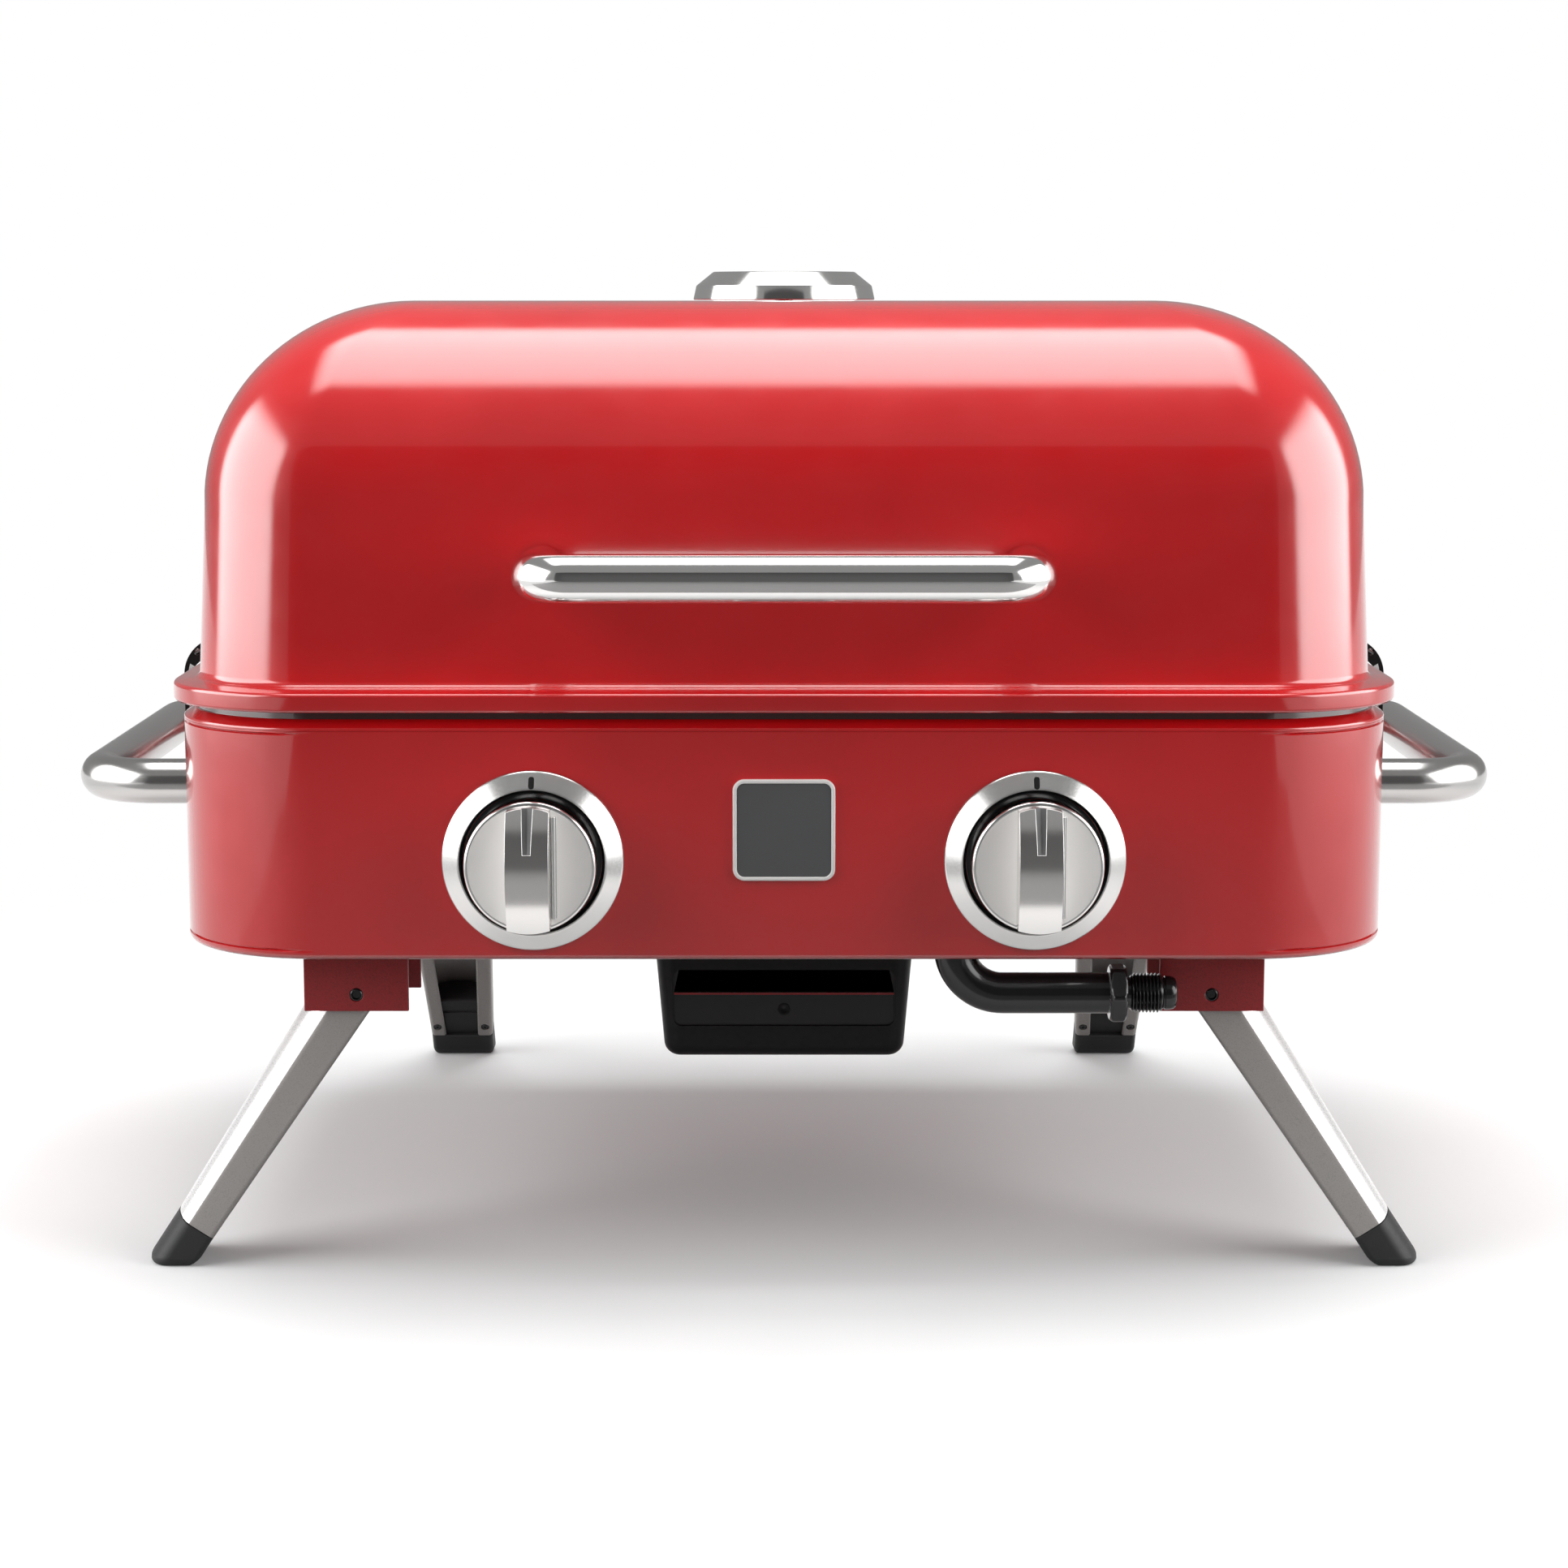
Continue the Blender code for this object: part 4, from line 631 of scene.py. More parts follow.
def gauge():
    """The thermometer: bright stepped ring, glass, printed dial and needle."""
    low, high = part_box("gauge_bezel")
    radius = high.x
    top, base = high.z, low.z
    centre = shift((0, MIDDLE_Y, 0))
    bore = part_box("gauge_lens")[1].x
    ring = turned("gauge_ring", [
        (radius - 0.0004, base), (radius, base + 0.0004), (radius - 0.0013, top - 0.0064),
        (radius - 0.0018, top - 0.0059), (radius - 0.0088, top - 0.0003), (radius - 0.0094, top),
        (bore - 0.0036, top), (bore - 0.0040, top - 0.0004),
        (bore - 0.0040, top - 0.0016), (bore + 0.0003, top - 0.0016), (bore + 0.0003, base),
    ], 128, closed=True)
    dress(moved(ring, centre), "lid", CHROME, "chrome_trim", "gauge_bezel")

    low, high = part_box("gauge_lens")
    lens = turned("gauge_glass", [
        (bore - 0.0003, low.z), (bore, low.z + 0.0003), (bore, high.z - 0.0006),
        (bore - 0.0004, high.z - 0.0002), (bore * 0.85, high.z), (bore * 0.4, high.z),
    ], 96)
    dress(moved(lens, centre), "lid", GLASS, "gauge_glass", "gauge_lens")

    low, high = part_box("gauge_dial")
    stem_hole = 0.0044
    section = [(bore, low.z), (bore, high.z), (stem_hole, high.z), (stem_hole, low.z)]
    disc = turned("gauge_card", section, 96, closed=True)
    dress(moved(disc, centre), "lid", DIAL, "dial_face", "gauge_dial")
    marks = []
    for i in range(25):
        angle = math.radians(210 - 10 * i)
        long = i % 4 == 0
        inner = bore - (0.0080 if long else 0.0064)
        tick = block("tick", (inner, -0.00035, 0), (bore - 0.0046, 0.00035, 0.00012))
        marks.append(moved(tick, Matrix.Rotation(angle, 4, "Z")))
        if long:
            figures = bore - 0.0128
            at = (figures * math.cos(angle), figures * math.sin(angle), 0.00006)
            marks.append(moved(number(50 + 50 * (i // 4)), shift(at)))
    scale = joined(*marks)
    scale.name = "gauge_print"
    moved(scale, shift((0, MIDDLE_Y, high.z + 0.00002)))
    dress(scale, "lid", INK, "black_metal")

    low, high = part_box("gauge_needle")
    z = low.z
    cap = [(0.0036, z), (0.0036, z + 0.0009), (0.0030, z + 0.0013), (0.0008, z + 0.0014)]
    hub = turned("gauge_hand", cap, 32)
    outline = [(-0.0017, -0.007), (0.0017, -0.007), (0.0004, 0.0225), (-0.0004, 0.0225)]
    hand = prism("hand", outline, z + 0.0002, z + 0.0008, "Z")
    hub = joined(hub, moved(hand, Matrix.Rotation(math.radians(120), 4, "Z")))
    dress(moved(hub, centre), "needle", NEEDLE_RED, "black_metal", "gauge_needle")


# ---- controls

def bezel(side):
    """The dished bright ring round a knob, its dark inner line, a black ring behind the knob, and the dark
    mark at its top. The inner line and the ring are painted shade in the gap round the knob.
    """
    at = shift(KNOB_AT[side]) @ FACE_FRONT
    low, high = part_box(f"knob_bezel_{side}")
    outer = (high.x - low.x) / 2
    inner = outer - 0.0083
    rise = FRONT - low.y
    ring = turned(f"bezel_{side}", [
        (outer - 0.0003, GAP), (outer, 0.0007), (outer, 0.0018), (outer - 0.0003, 0.0025),
        (outer - 0.0009, 0.0028), (inner + 0.0019, rise - 0.0003), (inner + 0.0013, rise),
        (inner + 0.0008, rise - 0.0002), (inner + 0.0006, rise - 0.0008), (inner + 0.0006, GAP),
    ], 128, closed=True)
    dress(moved(ring, at), "base", RING, "satin_steel", f"knob_bezel_{side}")
    # Painted shade: a black sleeve inside the bright ring, standing in for the shadowed gap round the knob.
    gap_shade_sleeve = turned(f"bezel_lining_{side}", [
        (inner + 0.0006, 0.0004), (inner + 0.0006, rise - 0.0009), (inner, rise - 0.0012),
        (inner - 0.0004, rise - 0.0024), (inner - 0.0006, 0.0004),
    ], 96, closed=True)
    dress(moved(gap_shade_sleeve, at), "base", BLACK, "black_metal")
    slope = math.atan2(rise - 0.0031, outer - inner - 0.0028)
    middle = (outer + inner) / 2 - 0.0006
    mark = loft("capsule", [rounded(0.0012 - s, 0.0028 - s, 0.0011 - s * 0.9, z, steps=6) for s, z in
                            ((0.0, -0.0012), (0.0, 0.0002), (0.0003, 0.0004))])
    mark.name = f"bezel_mark_{side}"
    tilt = Matrix.Rotation(-slope, 4, "X")
    height = 0.0028 + (outer - 0.0009 - middle) * math.tan(slope)
    moved(mark, at @ shift((0, middle, height)) @ tilt)
    dress(mark, "base", BLACK, "black_metal")
    hole = inner - 0.0008
    # Painted shade: a black ring behind the knob that fills the gap round it with shadow.
    collar = turned(f"collar_{side}", [
        (0.0075, GAP), (hole, GAP), (hole, 0.0010), (0.0138, 0.0016), (0.0130, 0.0022), (0.0075, 0.0022),
    ], 48, closed=True)
    dress(moved(collar, at), "base", BLACK, "black_metal")


def knob(side):
    """The knob: a turned disc with a bright rounded edge, and a crowned grip bar with a pointer groove."""
    at = shift(KNOB_AT[side]) @ FACE_FRONT
    low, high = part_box(f"knob_{side}")
    radius = (high.x - low.x) / 2
    back = FRONT - high.y
    top = FRONT - low.y
    face = 0.019
    soft = 0.0013
    profile = [(radius - 0.0010, back), (radius, back + 0.001)]
    profile += arc((radius - soft, face - soft), soft, 0, 84, 6)
    profile += [(radius - soft - 0.0003, face - 0.0001), (radius * 0.6, face), (radius * 0.3, face + 0.0001)]
    disc = turned(f"knob_disc_{side}", profile, 128)
    stem_hole = 0.0043
    combine(disc, turned("bore", [(stem_hole, back - 0.001), (stem_hole, back + 0.0085)], 32))
    flat = radius - soft - 0.0001
    for polygon in disc.data.polygons:
        widest = max(math.hypot(*disc.data.vertices[v].co.xy) for v in polygon.vertices)
        if polygon.center.z > face - 0.0009 and widest < flat:
            polygon.material_index = 1
    dress(moved(disc, at), "control_" + side, [CHROME, FACE], "satin_steel", f"knob_{side}")

    reach = radius - 0.0011
    half = 0.00875
    crown = 0.0080
    steps = 28
    upper = [(reach * (1 - 2 * i / steps), top - crown * (1 - 2 * i / steps) ** 2) for i in range(steps + 1)]
    bar = prism(f"knob_bar_{side}", [(-reach, face - 0.003), (reach, face - 0.003)] + upper, -half, half, "X")
    combine(bar, turned("round", [(reach - 0.0001, 0), (reach - 0.0001, 0.05)], 96), "INTERSECT")
    deep, wide, slim = 0.0009, 0.0024, 0.0016
    length = 0.0175
    start = reach - 0.0005
    groove = bmesh.new()
    ends = []
    for y, width in ((start + 0.004, wide), (start - length, slim)):
        surface_z = top - crown * (y / reach) ** 2
        ends.append([groove.verts.new(p) for p in (
            (-width, y, surface_z + 0.004), (-width, y, surface_z - deep * 0.3), (0, y, surface_z - deep),
            (width, y, surface_z - deep * 0.3), (width, y, surface_z + 0.004))])
    groove.faces.new(ends[0])
    groove.faces.new(ends[1])
    for i in range(5):
        j = (i + 1) % 5
        groove.faces.new((ends[0][i], ends[0][j], ends[1][j], ends[1][i]))
    combine(bar, mesh_object("groove", groove))
    for polygon in bar.data.polygons:
        x, y, z = polygon.center
        level = top - crown * (y / reach) ** 2
        sunk = abs(x) < wide and y > start - length - 0.0002 and z < level - 0.0001 and polygon.normal.z > 0.3
        polygon.material_index = 1 if sunk and z > face else 0
    dress(moved(bar, at), "control_" + side, [BAR, GROOVE], "satin_steel", bevel=0.0003)
    near, step, far = 0.0092, 0.0104, 0.0112
    root, low_step, high_step = face - 0.001, face + 0.0006, face + 0.0018
    outline = [
        (near, root), (near, high_step), (step, high_step), (step, low_step), (far, low_step), (far, root),
    ]
    chord = math.sqrt(radius ** 2 - far ** 2) - 0.0035
    rail = prism(f"knob_rail_{side}", outline, -chord, chord)
    dress(moved(rail, at), "control_" + side, CHROME, "satin_steel", bevel=0.0002)


def badge():
    """The bare square plate between the knobs: a bright border round a dark grey field."""
    low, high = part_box("badge_plate")
    half = (high.x - low.x) / 2
    at = shift((0, FRONT, (low.z + high.z) / 2)) @ FACE_FRONT
    thick = FRONT - low.y
    corner = 0.0048
    border = 0.0016

    def row(inset, z):
        return rounded(half - inset, half - inset, corner - inset, z, steps=12)

    rim = loft("badge_border", [
        row(0, 0.0003), row(0, thick - 0.0005), row(0.00015, thick - 0.00015), row(0.0005, thick),
        row(border - 0.0003, thick), row(border, thick - 0.0002), row(border, 0.0003),
    ], closed=True)
    dress(moved(rim, at), "base", FACE, "satin_steel", "badge_plate")
    field = loft("badge_field", [
        row(border, 0.0003), row(border, thick - 0.0006), row(border + 0.0004, thick - 0.0005),
    ])
    dress(moved(field, at), "base", BADGE_GREY, "satin_steel")


# ---- side handles

def side_handles():
    """The two bent carrying handles."""
    for side, sign in SIDES.items():
        low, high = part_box(f"side_handle_{side}")
        radius = (high.z - low.z) / 2
        z = (high.z + low.z) / 2
        outer = (high.x if sign > 0 else -low.x) - radius
        wall = HALF_WIDTH + GAP
        front, back = low.y + radius, high.y - radius
        corners = [(sign * x, y, z) for x, y in ((wall, front), (outer, front), (outer, back), (wall, back))]
        bar = sweep(f"carry_bar_{side}", bend(corners, 0.028, 16), radius, 40)
        dress(bar, "base", HANDLE, "chrome_trim", f"side_handle_{side}")
        for end, y in (("front", front), ("back", back)):
            ring = turned(f"carry_collar_{side}_{end}", [
                (radius, GAP), (radius + 0.0012, GAP), (radius + 0.0012, 0.0008), (radius, 0.0014),
            ], 48, closed=True)
            turn = Matrix.Rotation(sign * math.pi / 2, 4, "Y")
            moved(ring, shift((sign * HALF_WIDTH, y, z)) @ turn)
            dress(ring, "base", CHROME, "chrome_trim")


# ---- legs

LEG_LENGTH = 0.126
LEG_WALL = 0.0018
LEG_LIP = 0.008
LEG_HALF = 0.0222
LEG_TOP = (-0.0086, 0.0048, 0.0169)
LEG_END = (-0.0056, 0.0052, 0.0136)
LEG_END_HALF = 0.0166
LEG_PIN_HOLE = 0.0028
FOOT_SCREW_UP = 0.0065
FOOT_SCREW_IN = 0.0002
FOOT_SCREW_LEVEL = 0.012
PLUG = 0.026
PIVOT_Z = JOINTS["leg_fold_front_left"]["pos_m"][2]


def leg_section(s):
    """The leg's open side, web edge, web apex and half width at a distance below its pivot."""
    part = max(0, s) / LEG_LENGTH
    inner, edge, apex = (a + (b - a) * part for a, b in zip(LEG_TOP, LEG_END))
    return inner, edge, apex, LEG_HALF + (LEG_END_HALF - LEG_HALF) * part


def web(edge, apex, half, steps=20):
    """The rounded web, as an arc of points from one flange to the other."""
    angles = [math.pi * i / steps for i in range(steps + 1)]
    return [(edge + (apex - edge) * math.sin(a), -half * math.cos(a)) for a in angles]


def foot_screw_at(sign, out=0.0):
    """Where a foot's screw sits on the leg's lip, and out from it."""
    inner, _, _, half = leg_section(LEG_LENGTH - FOOT_SCREW_LEVEL)
    return (inner + out, sign * (half - LEG_LIP / 2 - FOOT_SCREW_IN), -(LEG_LENGTH - FOOT_SCREW_UP))


def leg_shape(name):
    """A tapered channel with rounded lips, hanging from its pivot along -Z, whose rounded outer web carries a
    painted highlight.
    """
    rings = []
    bend_r = 0.0022
    steps = 12
    for i in range(-1, steps + 1):
        s = -0.008 if i < 0 else LEG_LENGTH * i / steps
        inner, edge, apex, half = leg_section(s)
        low, wall = inner, LEG_WALL
        lip = half - LEG_LIP
        outer = [(low + 0.0009, -lip), (low, -lip - 0.0009)]
        outer += arc((low + bend_r, -half + bend_r), bend_r, 180, 270, 5)
        outer += web(edge, apex, half)
        outer += arc((low + bend_r, half - bend_r), bend_r, 90, 180, 5)
        outer += [(low, lip + 0.0009), (low + 0.0009, lip)]
        flank, face = half - wall, low + wall
        inner_side = [(face, lip + 0.0006), (face, flank - 0.0006), (face + 0.0006, flank)]
        inner_side += web(edge, apex - wall, flank)[::-1]
        inner_side += [(face + 0.0006, -flank), (face, -flank + 0.0006), (face, -lip - 0.0006)]
        rings.append([(x, y, -s) for x, y in outer + inner_side])
    leg = loft(name, rings)
    combine(leg, bored(LEG_PIN_HOLE, 0.05, 24, FACE_FRONT))
    dent = [(0.0023, -0.0016), (0.0023, 0.0030)]
    combine(leg, joined(*(moved(turned("hole", dent, 20), shift(foot_screw_at(sign)) @ FACE_RIGHT)
                          for sign in (-1, 1))))
    # Painted highlight: faces of the rounded outer web turned outward get the lighter copy of the leg metal.
    for polygon in leg.data.polygons:
        painted_highlight_web = polygon.center.x > LEG_TOP[1] + 0.0004 and polygon.normal.x > 0.2
        polygon.material_index = 1 if painted_highlight_web else 0
    return leg


def foot_shape(name):
    """A moulded cap with a level sole, soft edges, and a ribbed plug up inside the leg."""
    def ring(s, inset, height=None):
        inner, edge, apex, half = leg_section(min(s, LEG_LENGTH))
        r = max(0.0006, 0.0026 - inset)
        outline = arc((inner + inset + r, -half + inset + r), r, 180, 270, 4)
        outline += web(edge, apex - inset, half - inset, 16)
        outline += arc((inner + inset + r, half - inset - r), r, 90, 180, 4)
        if height is None:
            return [(x, y, -s) for x, y in outline]
        return [(x, y, -(PIVOT_Z - height + x * math.sin(SPLAY)) / math.cos(SPLAY)) for x, y in outline]

    start = LEG_LENGTH + GAP
    snug = LEG_WALL + GAP
    sole = [(0.0, 0.0040), (0.0003, 0.0026), (0.0010, 0.0012), (0.0019, 0.0004), (0.0030, 0.0)]
    rows = [
        ring(LEG_LENGTH - PLUG, snug + 0.0012), ring(LEG_LENGTH - PLUG + 0.0012, snug),
        ring(LEG_LENGTH - 0.0180, snug), ring(LEG_LENGTH - 0.0176, snug + 0.0008),
        ring(LEG_LENGTH - 0.0160, snug + 0.0008), ring(LEG_LENGTH - 0.0156, snug),
        ring(start, snug), ring(start, 0.0004), ring(start + 0.0004, 0),
    ]
    rows += [ring(start, inset, height) for inset, height in sole]
    return loft(name, rows)


def bracket_shape(name):
    """A folded bracket with rounded folds, cheeks with soft lower corners, and a hole for the pin."""
    half, sheet = 0.0225, 0.002
    out = half + sheet
    top = TUB_LOW.z - GAP - PIVOT_Z
    low = -0.007
    soft = 0.003
    width = 0.022
    tight = 0.001
    outline = [(-out, low)]
    outline += arc((-out + soft, top - soft), soft, 180, 90, 6)
    outline += arc((out - soft, top - soft), soft, 90, 0, 6)
    outline += [(out, low), (half, low)]
    outline += arc((half - tight, top - sheet - tight), tight, 0, 90, 3)
    outline += arc((-half + tight, top - sheet - tight), tight, 90, 180, 3)
    outline.append((-half, low))
    bracket = prism(name, outline, -width, width, "X")
    return combine(bracket, bored(LEG_PIN_HOLE, 0.05, 32, FACE_FRONT))


def pin_shape(name):
    """A pivot pin whose hollow ends sit flush in the bracket's cheeks."""
    end = 0.0246
    hollow = [
        (0.0004, end - 0.0016), (0.0017, end - 0.0016), (0.0020, end - 0.0006),
        (0.0022, end), (0.0025, end - 0.0002),
    ]
    rows = hollow + [(r, -z) for r, z in reversed(hollow)]
    return moved(turned(name, rows, 40), FACE_FRONT)


def legs():
    """The four folding legs, each with its foot, bracket, pin and the two screws of its foot."""
    yaws = {"front_left": math.pi, "front_right": 0, "rear_left": math.pi / 2, "rear_right": math.pi / 2}
    for corner, yaw in yaws.items():
        at = shift(JOINTS[f"leg_fold_{corner}"]["pos_m"]) @ Matrix.Rotation(yaw, 4, "Z")
        hung = at @ Matrix.Rotation(-SPLAY, 4, "Y")
        body = f"leg_{corner}"
        channel = moved(leg_shape(f"leg_channel_{corner}"), hung)
        # The second material is the painted highlight on the outer web.
        dress(channel, body, [LEG, LEG_WEB_PAINTED_HIGHLIGHT], "leg_aluminium", f"leg_{corner}", bevel=0.0003)
        dress(moved(foot_shape(f"foot_cap_{corner}"), hung), body, PLASTIC, "foot_plastic", f"foot_{corner}")
        bracket = moved(bracket_shape(f"bracket_{corner}"), at)
        dress(bracket, "base", RED_MATT, "red_enamel", f"leg_bracket_{corner}", bevel=0.0004)
        dress(moved(pin_shape(f"pin_{corner}"), at), "base", BLACK, "black_metal", f"leg_pin_{corner}")
        for sign, name in ((-1, "a"), (1, "b")):
            screw = turned(f"foot_screw_{corner}_{name}", [
                (0.0019, -0.0008), (0.0019, 0.0002), (0.0015, 0.0006), (0.0007, 0.0006), (0.0005, 0.0001),
            ], 20)
            moved(screw, hung @ shift(foot_screw_at(sign, 0.0007)) @ Matrix.Rotation(-math.pi / 2, 4, "Y"))
            dress(screw, body, BLACK, "black_metal")


# ---- cup, pipe, latches

LATCH_SHEET = 0.002


def cup():
    """The grease cup: tapered, with round corners, side rims and a recessed front panel with a dimple."""
    low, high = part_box("drip_cup")
    rim = 0.007
    half_x = high.x - rim
    half_y = (high.y - low.y) / 2
    middle = (high.y + low.y) / 2
    bottom, top = low.z, high.z
    taper, soft, wall = 0.004, 0.0065, 0.0015

    def row(inset, z, extra=0.0, corner=0.0075):
        radius = max(0.0012, corner - max(0, inset - taper))
        return rounded(half_x - inset + extra, half_y - inset, radius, z, middle, 8)

    under = top - wall
    rows = [row(taper + soft - x, bottom + soft + z) for x, z in arc((0, 0), soft, -88, 0, 8)]
    rows += [
        row(0, under), row(0, under, rim), row(0, top, rim), row(wall, top), row(wall, under),
        row(wall + 0.0012, under - 0.002), row(taper + wall + 0.0012, bottom + soft),
        row(taper + soft, bottom + wall),
    ]
    body = loft("cup", rows)
    panel_x = half_x - 0.0085
    panel_top, panel_low = bottom + 0.0400, bottom + 0.0145
    slot_low = bottom + 0.0295
    depth = 0.0011
    tilt = taper / (under - bottom - soft)
    outline = [(x, z) for x, z, _ in
               rounded(panel_x, (panel_top - panel_low) / 2, 0.0035, 0, (panel_top + panel_low) / 2, 5)]
    tool = prism("recess", outline, low.y - 0.01, low.y + depth)
    for vertex in tool.data.vertices:
        if vertex.co.y > low.y:
            vertex.co.y += (under - vertex.co.z) * tilt
    combine(body, tool)
    slot_top = panel_top - 0.0001
    broad, slim = panel_x - 0.0002, panel_x - 0.0024
    outline = [(-broad, slot_low), (broad, slot_low), (slim, slot_top), (-slim, slot_top)]
    combine(body, prism("slot", outline, low.y - 0.01, low.y + 0.012))
    for polygon in body.data.polygons:
        at = polygon.center
        panel = abs(at.x) < panel_x - 0.001 and panel_low < at.z < slot_low and polygon.normal.y < -0.7
        polygon.material_index = 1 if panel else 0
    dress(body, "cup", [CUP_BLACK, CUP_PANEL], "black_enamel", "drip_cup", bevel=0.0004)
    # Painted reflection: a thin red line under the slot, standing in for the red body reflected in the slot's
    # lower edge.
    edge_low = slot_low - 0.0008
    lip = [(-broad, edge_low), (broad, edge_low), (broad, slot_low), (-broad, slot_low)]
    y = low.y + depth + (under - slot_low) * tilt
    dress(prism("cup_slot_red_reflection", lip, y - 0.0006, y - 0.0001), "cup", RED_MATT, "red_enamel")
    z = (slot_low + panel_low) / 2
    y = low.y + depth + (under - z) * tilt
    dimple = turned("cup_dimple", [
        (0.0028, -0.0002), (0.0028, 0.0002), (0.0022, 0.0004), (0.0014, 0.0001), (0.0004, 0.0),
    ], 32)
    dress(moved(dimple, shift((0, y, z)) @ FACE_FRONT), "cup", CUP_BLACK, "black_enamel")


def pipe():
    """The black gas pipe, its hexagon nut with chamfered corners, a winding thread and the flare nose."""
    low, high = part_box("inlet_pipe")
    radius = (high.y - low.y) / 2
    x, y = low.x + radius, low.y + radius
    z = low.z + radius
    path = bend([(x, y, high.z), (x, y, z), (high.x, y, z)], 0.020, 20)
    dress(sweep("gas_pipe", path, radius, 48), "base", BLACK, "black_metal", "inlet_pipe")

    low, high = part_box("inlet_fitting")
    start, end = low.x, high.x
    flats = 0.0225
    hex_length = 0.007
    steps = 72
    rings = []
    for along, cut in ((0, 0.0016), (0.0008, 0.0005), (0.0014, 0.0), (hex_length - 0.0014, 0.0),
                       (hex_length - 0.0008, 0.0005), (hex_length, 0.0016)):
        ring = []
        for i in range(steps):
            angle = math.tau * i / steps
            flat = flats / 2 / math.cos((angle + math.pi / 6) % (math.pi / 3) - math.pi / 6)
            r = min(flat, flats / math.sqrt(3) - 0.0004 - cut)
            ring.append((r * math.cos(angle), r * math.sin(angle), start + along))
        rings.append(ring)
    hexagon = loft("gas_nut", rings)
    to_x = shift((0, y, z)) @ FACE_RIGHT
    dress(moved(hexagon, to_x), "base", BLACK, "black_metal", "inlet_fitting", bevel=0.0002)

    major, depth, pitch = 0.0083, 0.0011, 0.0015
    first = start + hex_length
    last = end - 0.006
    per_turn = 40
    levels = 8
    rings = [circle(major - 0.0018, first, per_turn), circle(major - 0.0018, first + 0.0018, per_turn)]
    count = round((last - first - 0.002) / pitch * levels)
    for k in range(count + 1):
        height = first + 0.002 + k * pitch / levels
        ring = []
        fade = min(1.0, k / levels, (count - k) / levels)
        for i in range(per_turn):
            angle = math.tau * i / per_turn
            phase = (k / levels - i / per_turn) % 1.0
            r = major - depth * (1 - fade * (1 - abs(2 * phase - 1)) * 1.25)
            r = min(r, major)
            ring.append((r * math.cos(angle), r * math.sin(angle), height))
        rings.append(ring)
    neck = 0.0066
    rings += [circle(r, h, per_turn) for r, h in (
        (neck, last + 0.0004), (neck, last + 0.0010), (0.0071, last + 0.0012), (0.0071, last + 0.0032),
        (0.0067, end - 0.0012), (0.0059, end - 0.0003), (0.0052, end), (0.0032, end), (0.0030, end - 0.0004),
        (0.0030, end - 0.012),
    )]
    thread = loft("gas_thread", rings)
    dress(moved(thread, to_x), "base", BLACK, "black_metal")


def hanger():
    """The frame that holds the cup: its window plate, rails with ledges and the two front aprons."""
    low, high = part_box("cup_hanger")
    cup_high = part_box("drip_cup")[1]
    sheet = 0.0015
    outer = high.x
    start, end, top = low.y, high.y, high.z
    window = cup_high.x - 0.015
    rail = cup_high.x + 0.0015
    ledge_top = cup_high.z - 0.0015 - GAP
    inner = cup_high.x - 0.007 + 0.0015
    plate = block("hanger", (-outer, start, top - sheet), (outer, end, top))
    combine(plate, block("window", (-window, start + 0.010, top - 0.01), (window, end - 0.020, top + 0.01)))
    for sign in SIDES.values():
        angle = [
            (inner, ledge_top - sheet), (rail + sheet, ledge_top - sheet), (rail + sheet, top - sheet / 2),
            (rail, top - sheet / 2), (rail, ledge_top), (inner, ledge_top),
        ]
        outline = [(sign * x, z) for x, z in angle]
        combine(plate, prism("rail", outline, start + 0.0005, end - 0.0005), "UNION")
        near, far = sorted((sign * (rail + sheet / 2), sign * (outer - 0.0005)))
        apron_low = (near, start + 0.0003, top - 0.0050)
        apron = block("apron", apron_low, (far, start + 1.2 * sheet, top - sheet / 2))
        combine(plate, apron, "UNION")
    dress(plate, "base", RED_MATT, "red_enamel", "cup_hanger", bevel=0.0003)


def latch_seat(side, base, wall, reach, ear):
    """A latch's riveted plate with its two ears, and the pin between them."""
    low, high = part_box(f"latch_bracket_{side}")
    level = base.translation.z
    plate_y = (high.y - low.y) / 2
    outer = wall + LATCH_SHEET
    root = wall + LATCH_SHEET / 2
    plate = block(f"latch_seat_{side}", (wall, -plate_y, low.z - level), (outer, plate_y, high.z - level))
    outline = [(root, -0.007), (reach, -0.005)] + arc((reach, 0), 0.005, -90, 90, 10) + [(root, 0.007)]
    for start, end in ((-ear - LATCH_SHEET, -ear), (ear, ear + LATCH_SHEET)):
        combine(plate, prism("ear", outline, start, end), "UNION")
    dress(moved(plate, base), "base", BLACK, "black_metal", f"latch_bracket_{side}", bevel=0.0003)
    end = ear + LATCH_SHEET
    head = [(0.0020, end), (0.0030, end), (0.0030, end + 0.0006)]
    pin = turned(f"latch_pin_{side}", [(r, -z) for r, z in reversed(head)] + head, 24)
    dress(moved(pin, base @ shift((reach, 0, 0)) @ FACE_FRONT), "base", CHROME, "black_metal")
    dome = [(0.0021, 0), (0.0021, 0.0003), (0.0016, 0.0009), (0.0006, 0.0012)]
    for sign, name in ((-1, "a"), (1, "b")):
        for height, where in ((-0.012, "low"), (0.010, "high")):
            rivet = turned(f"latch_rivet_{side}_{name}_{where}", dome, 20)
            at = base @ shift((outer, sign * (plate_y - 0.0024), height))
            dress(moved(rivet, at @ FACE_RIGHT), "base", CHROME, "black_metal")


def claw_path(reach, out, tip_x, tip_z, rise):
    """The claw's outer line: up from its barrel, then over in a quarter round to its tip."""
    path = [(reach + 0.002, -0.003), (out - 0.003, 0.002), (out, 0.010)]
    quarter = [math.radians(90) * i / 14 for i in range(15)]
    path += [(tip_x + (out - tip_x) * math.cos(a), tip_z - rise + rise * math.sin(a)) for a in quarter]
    return path


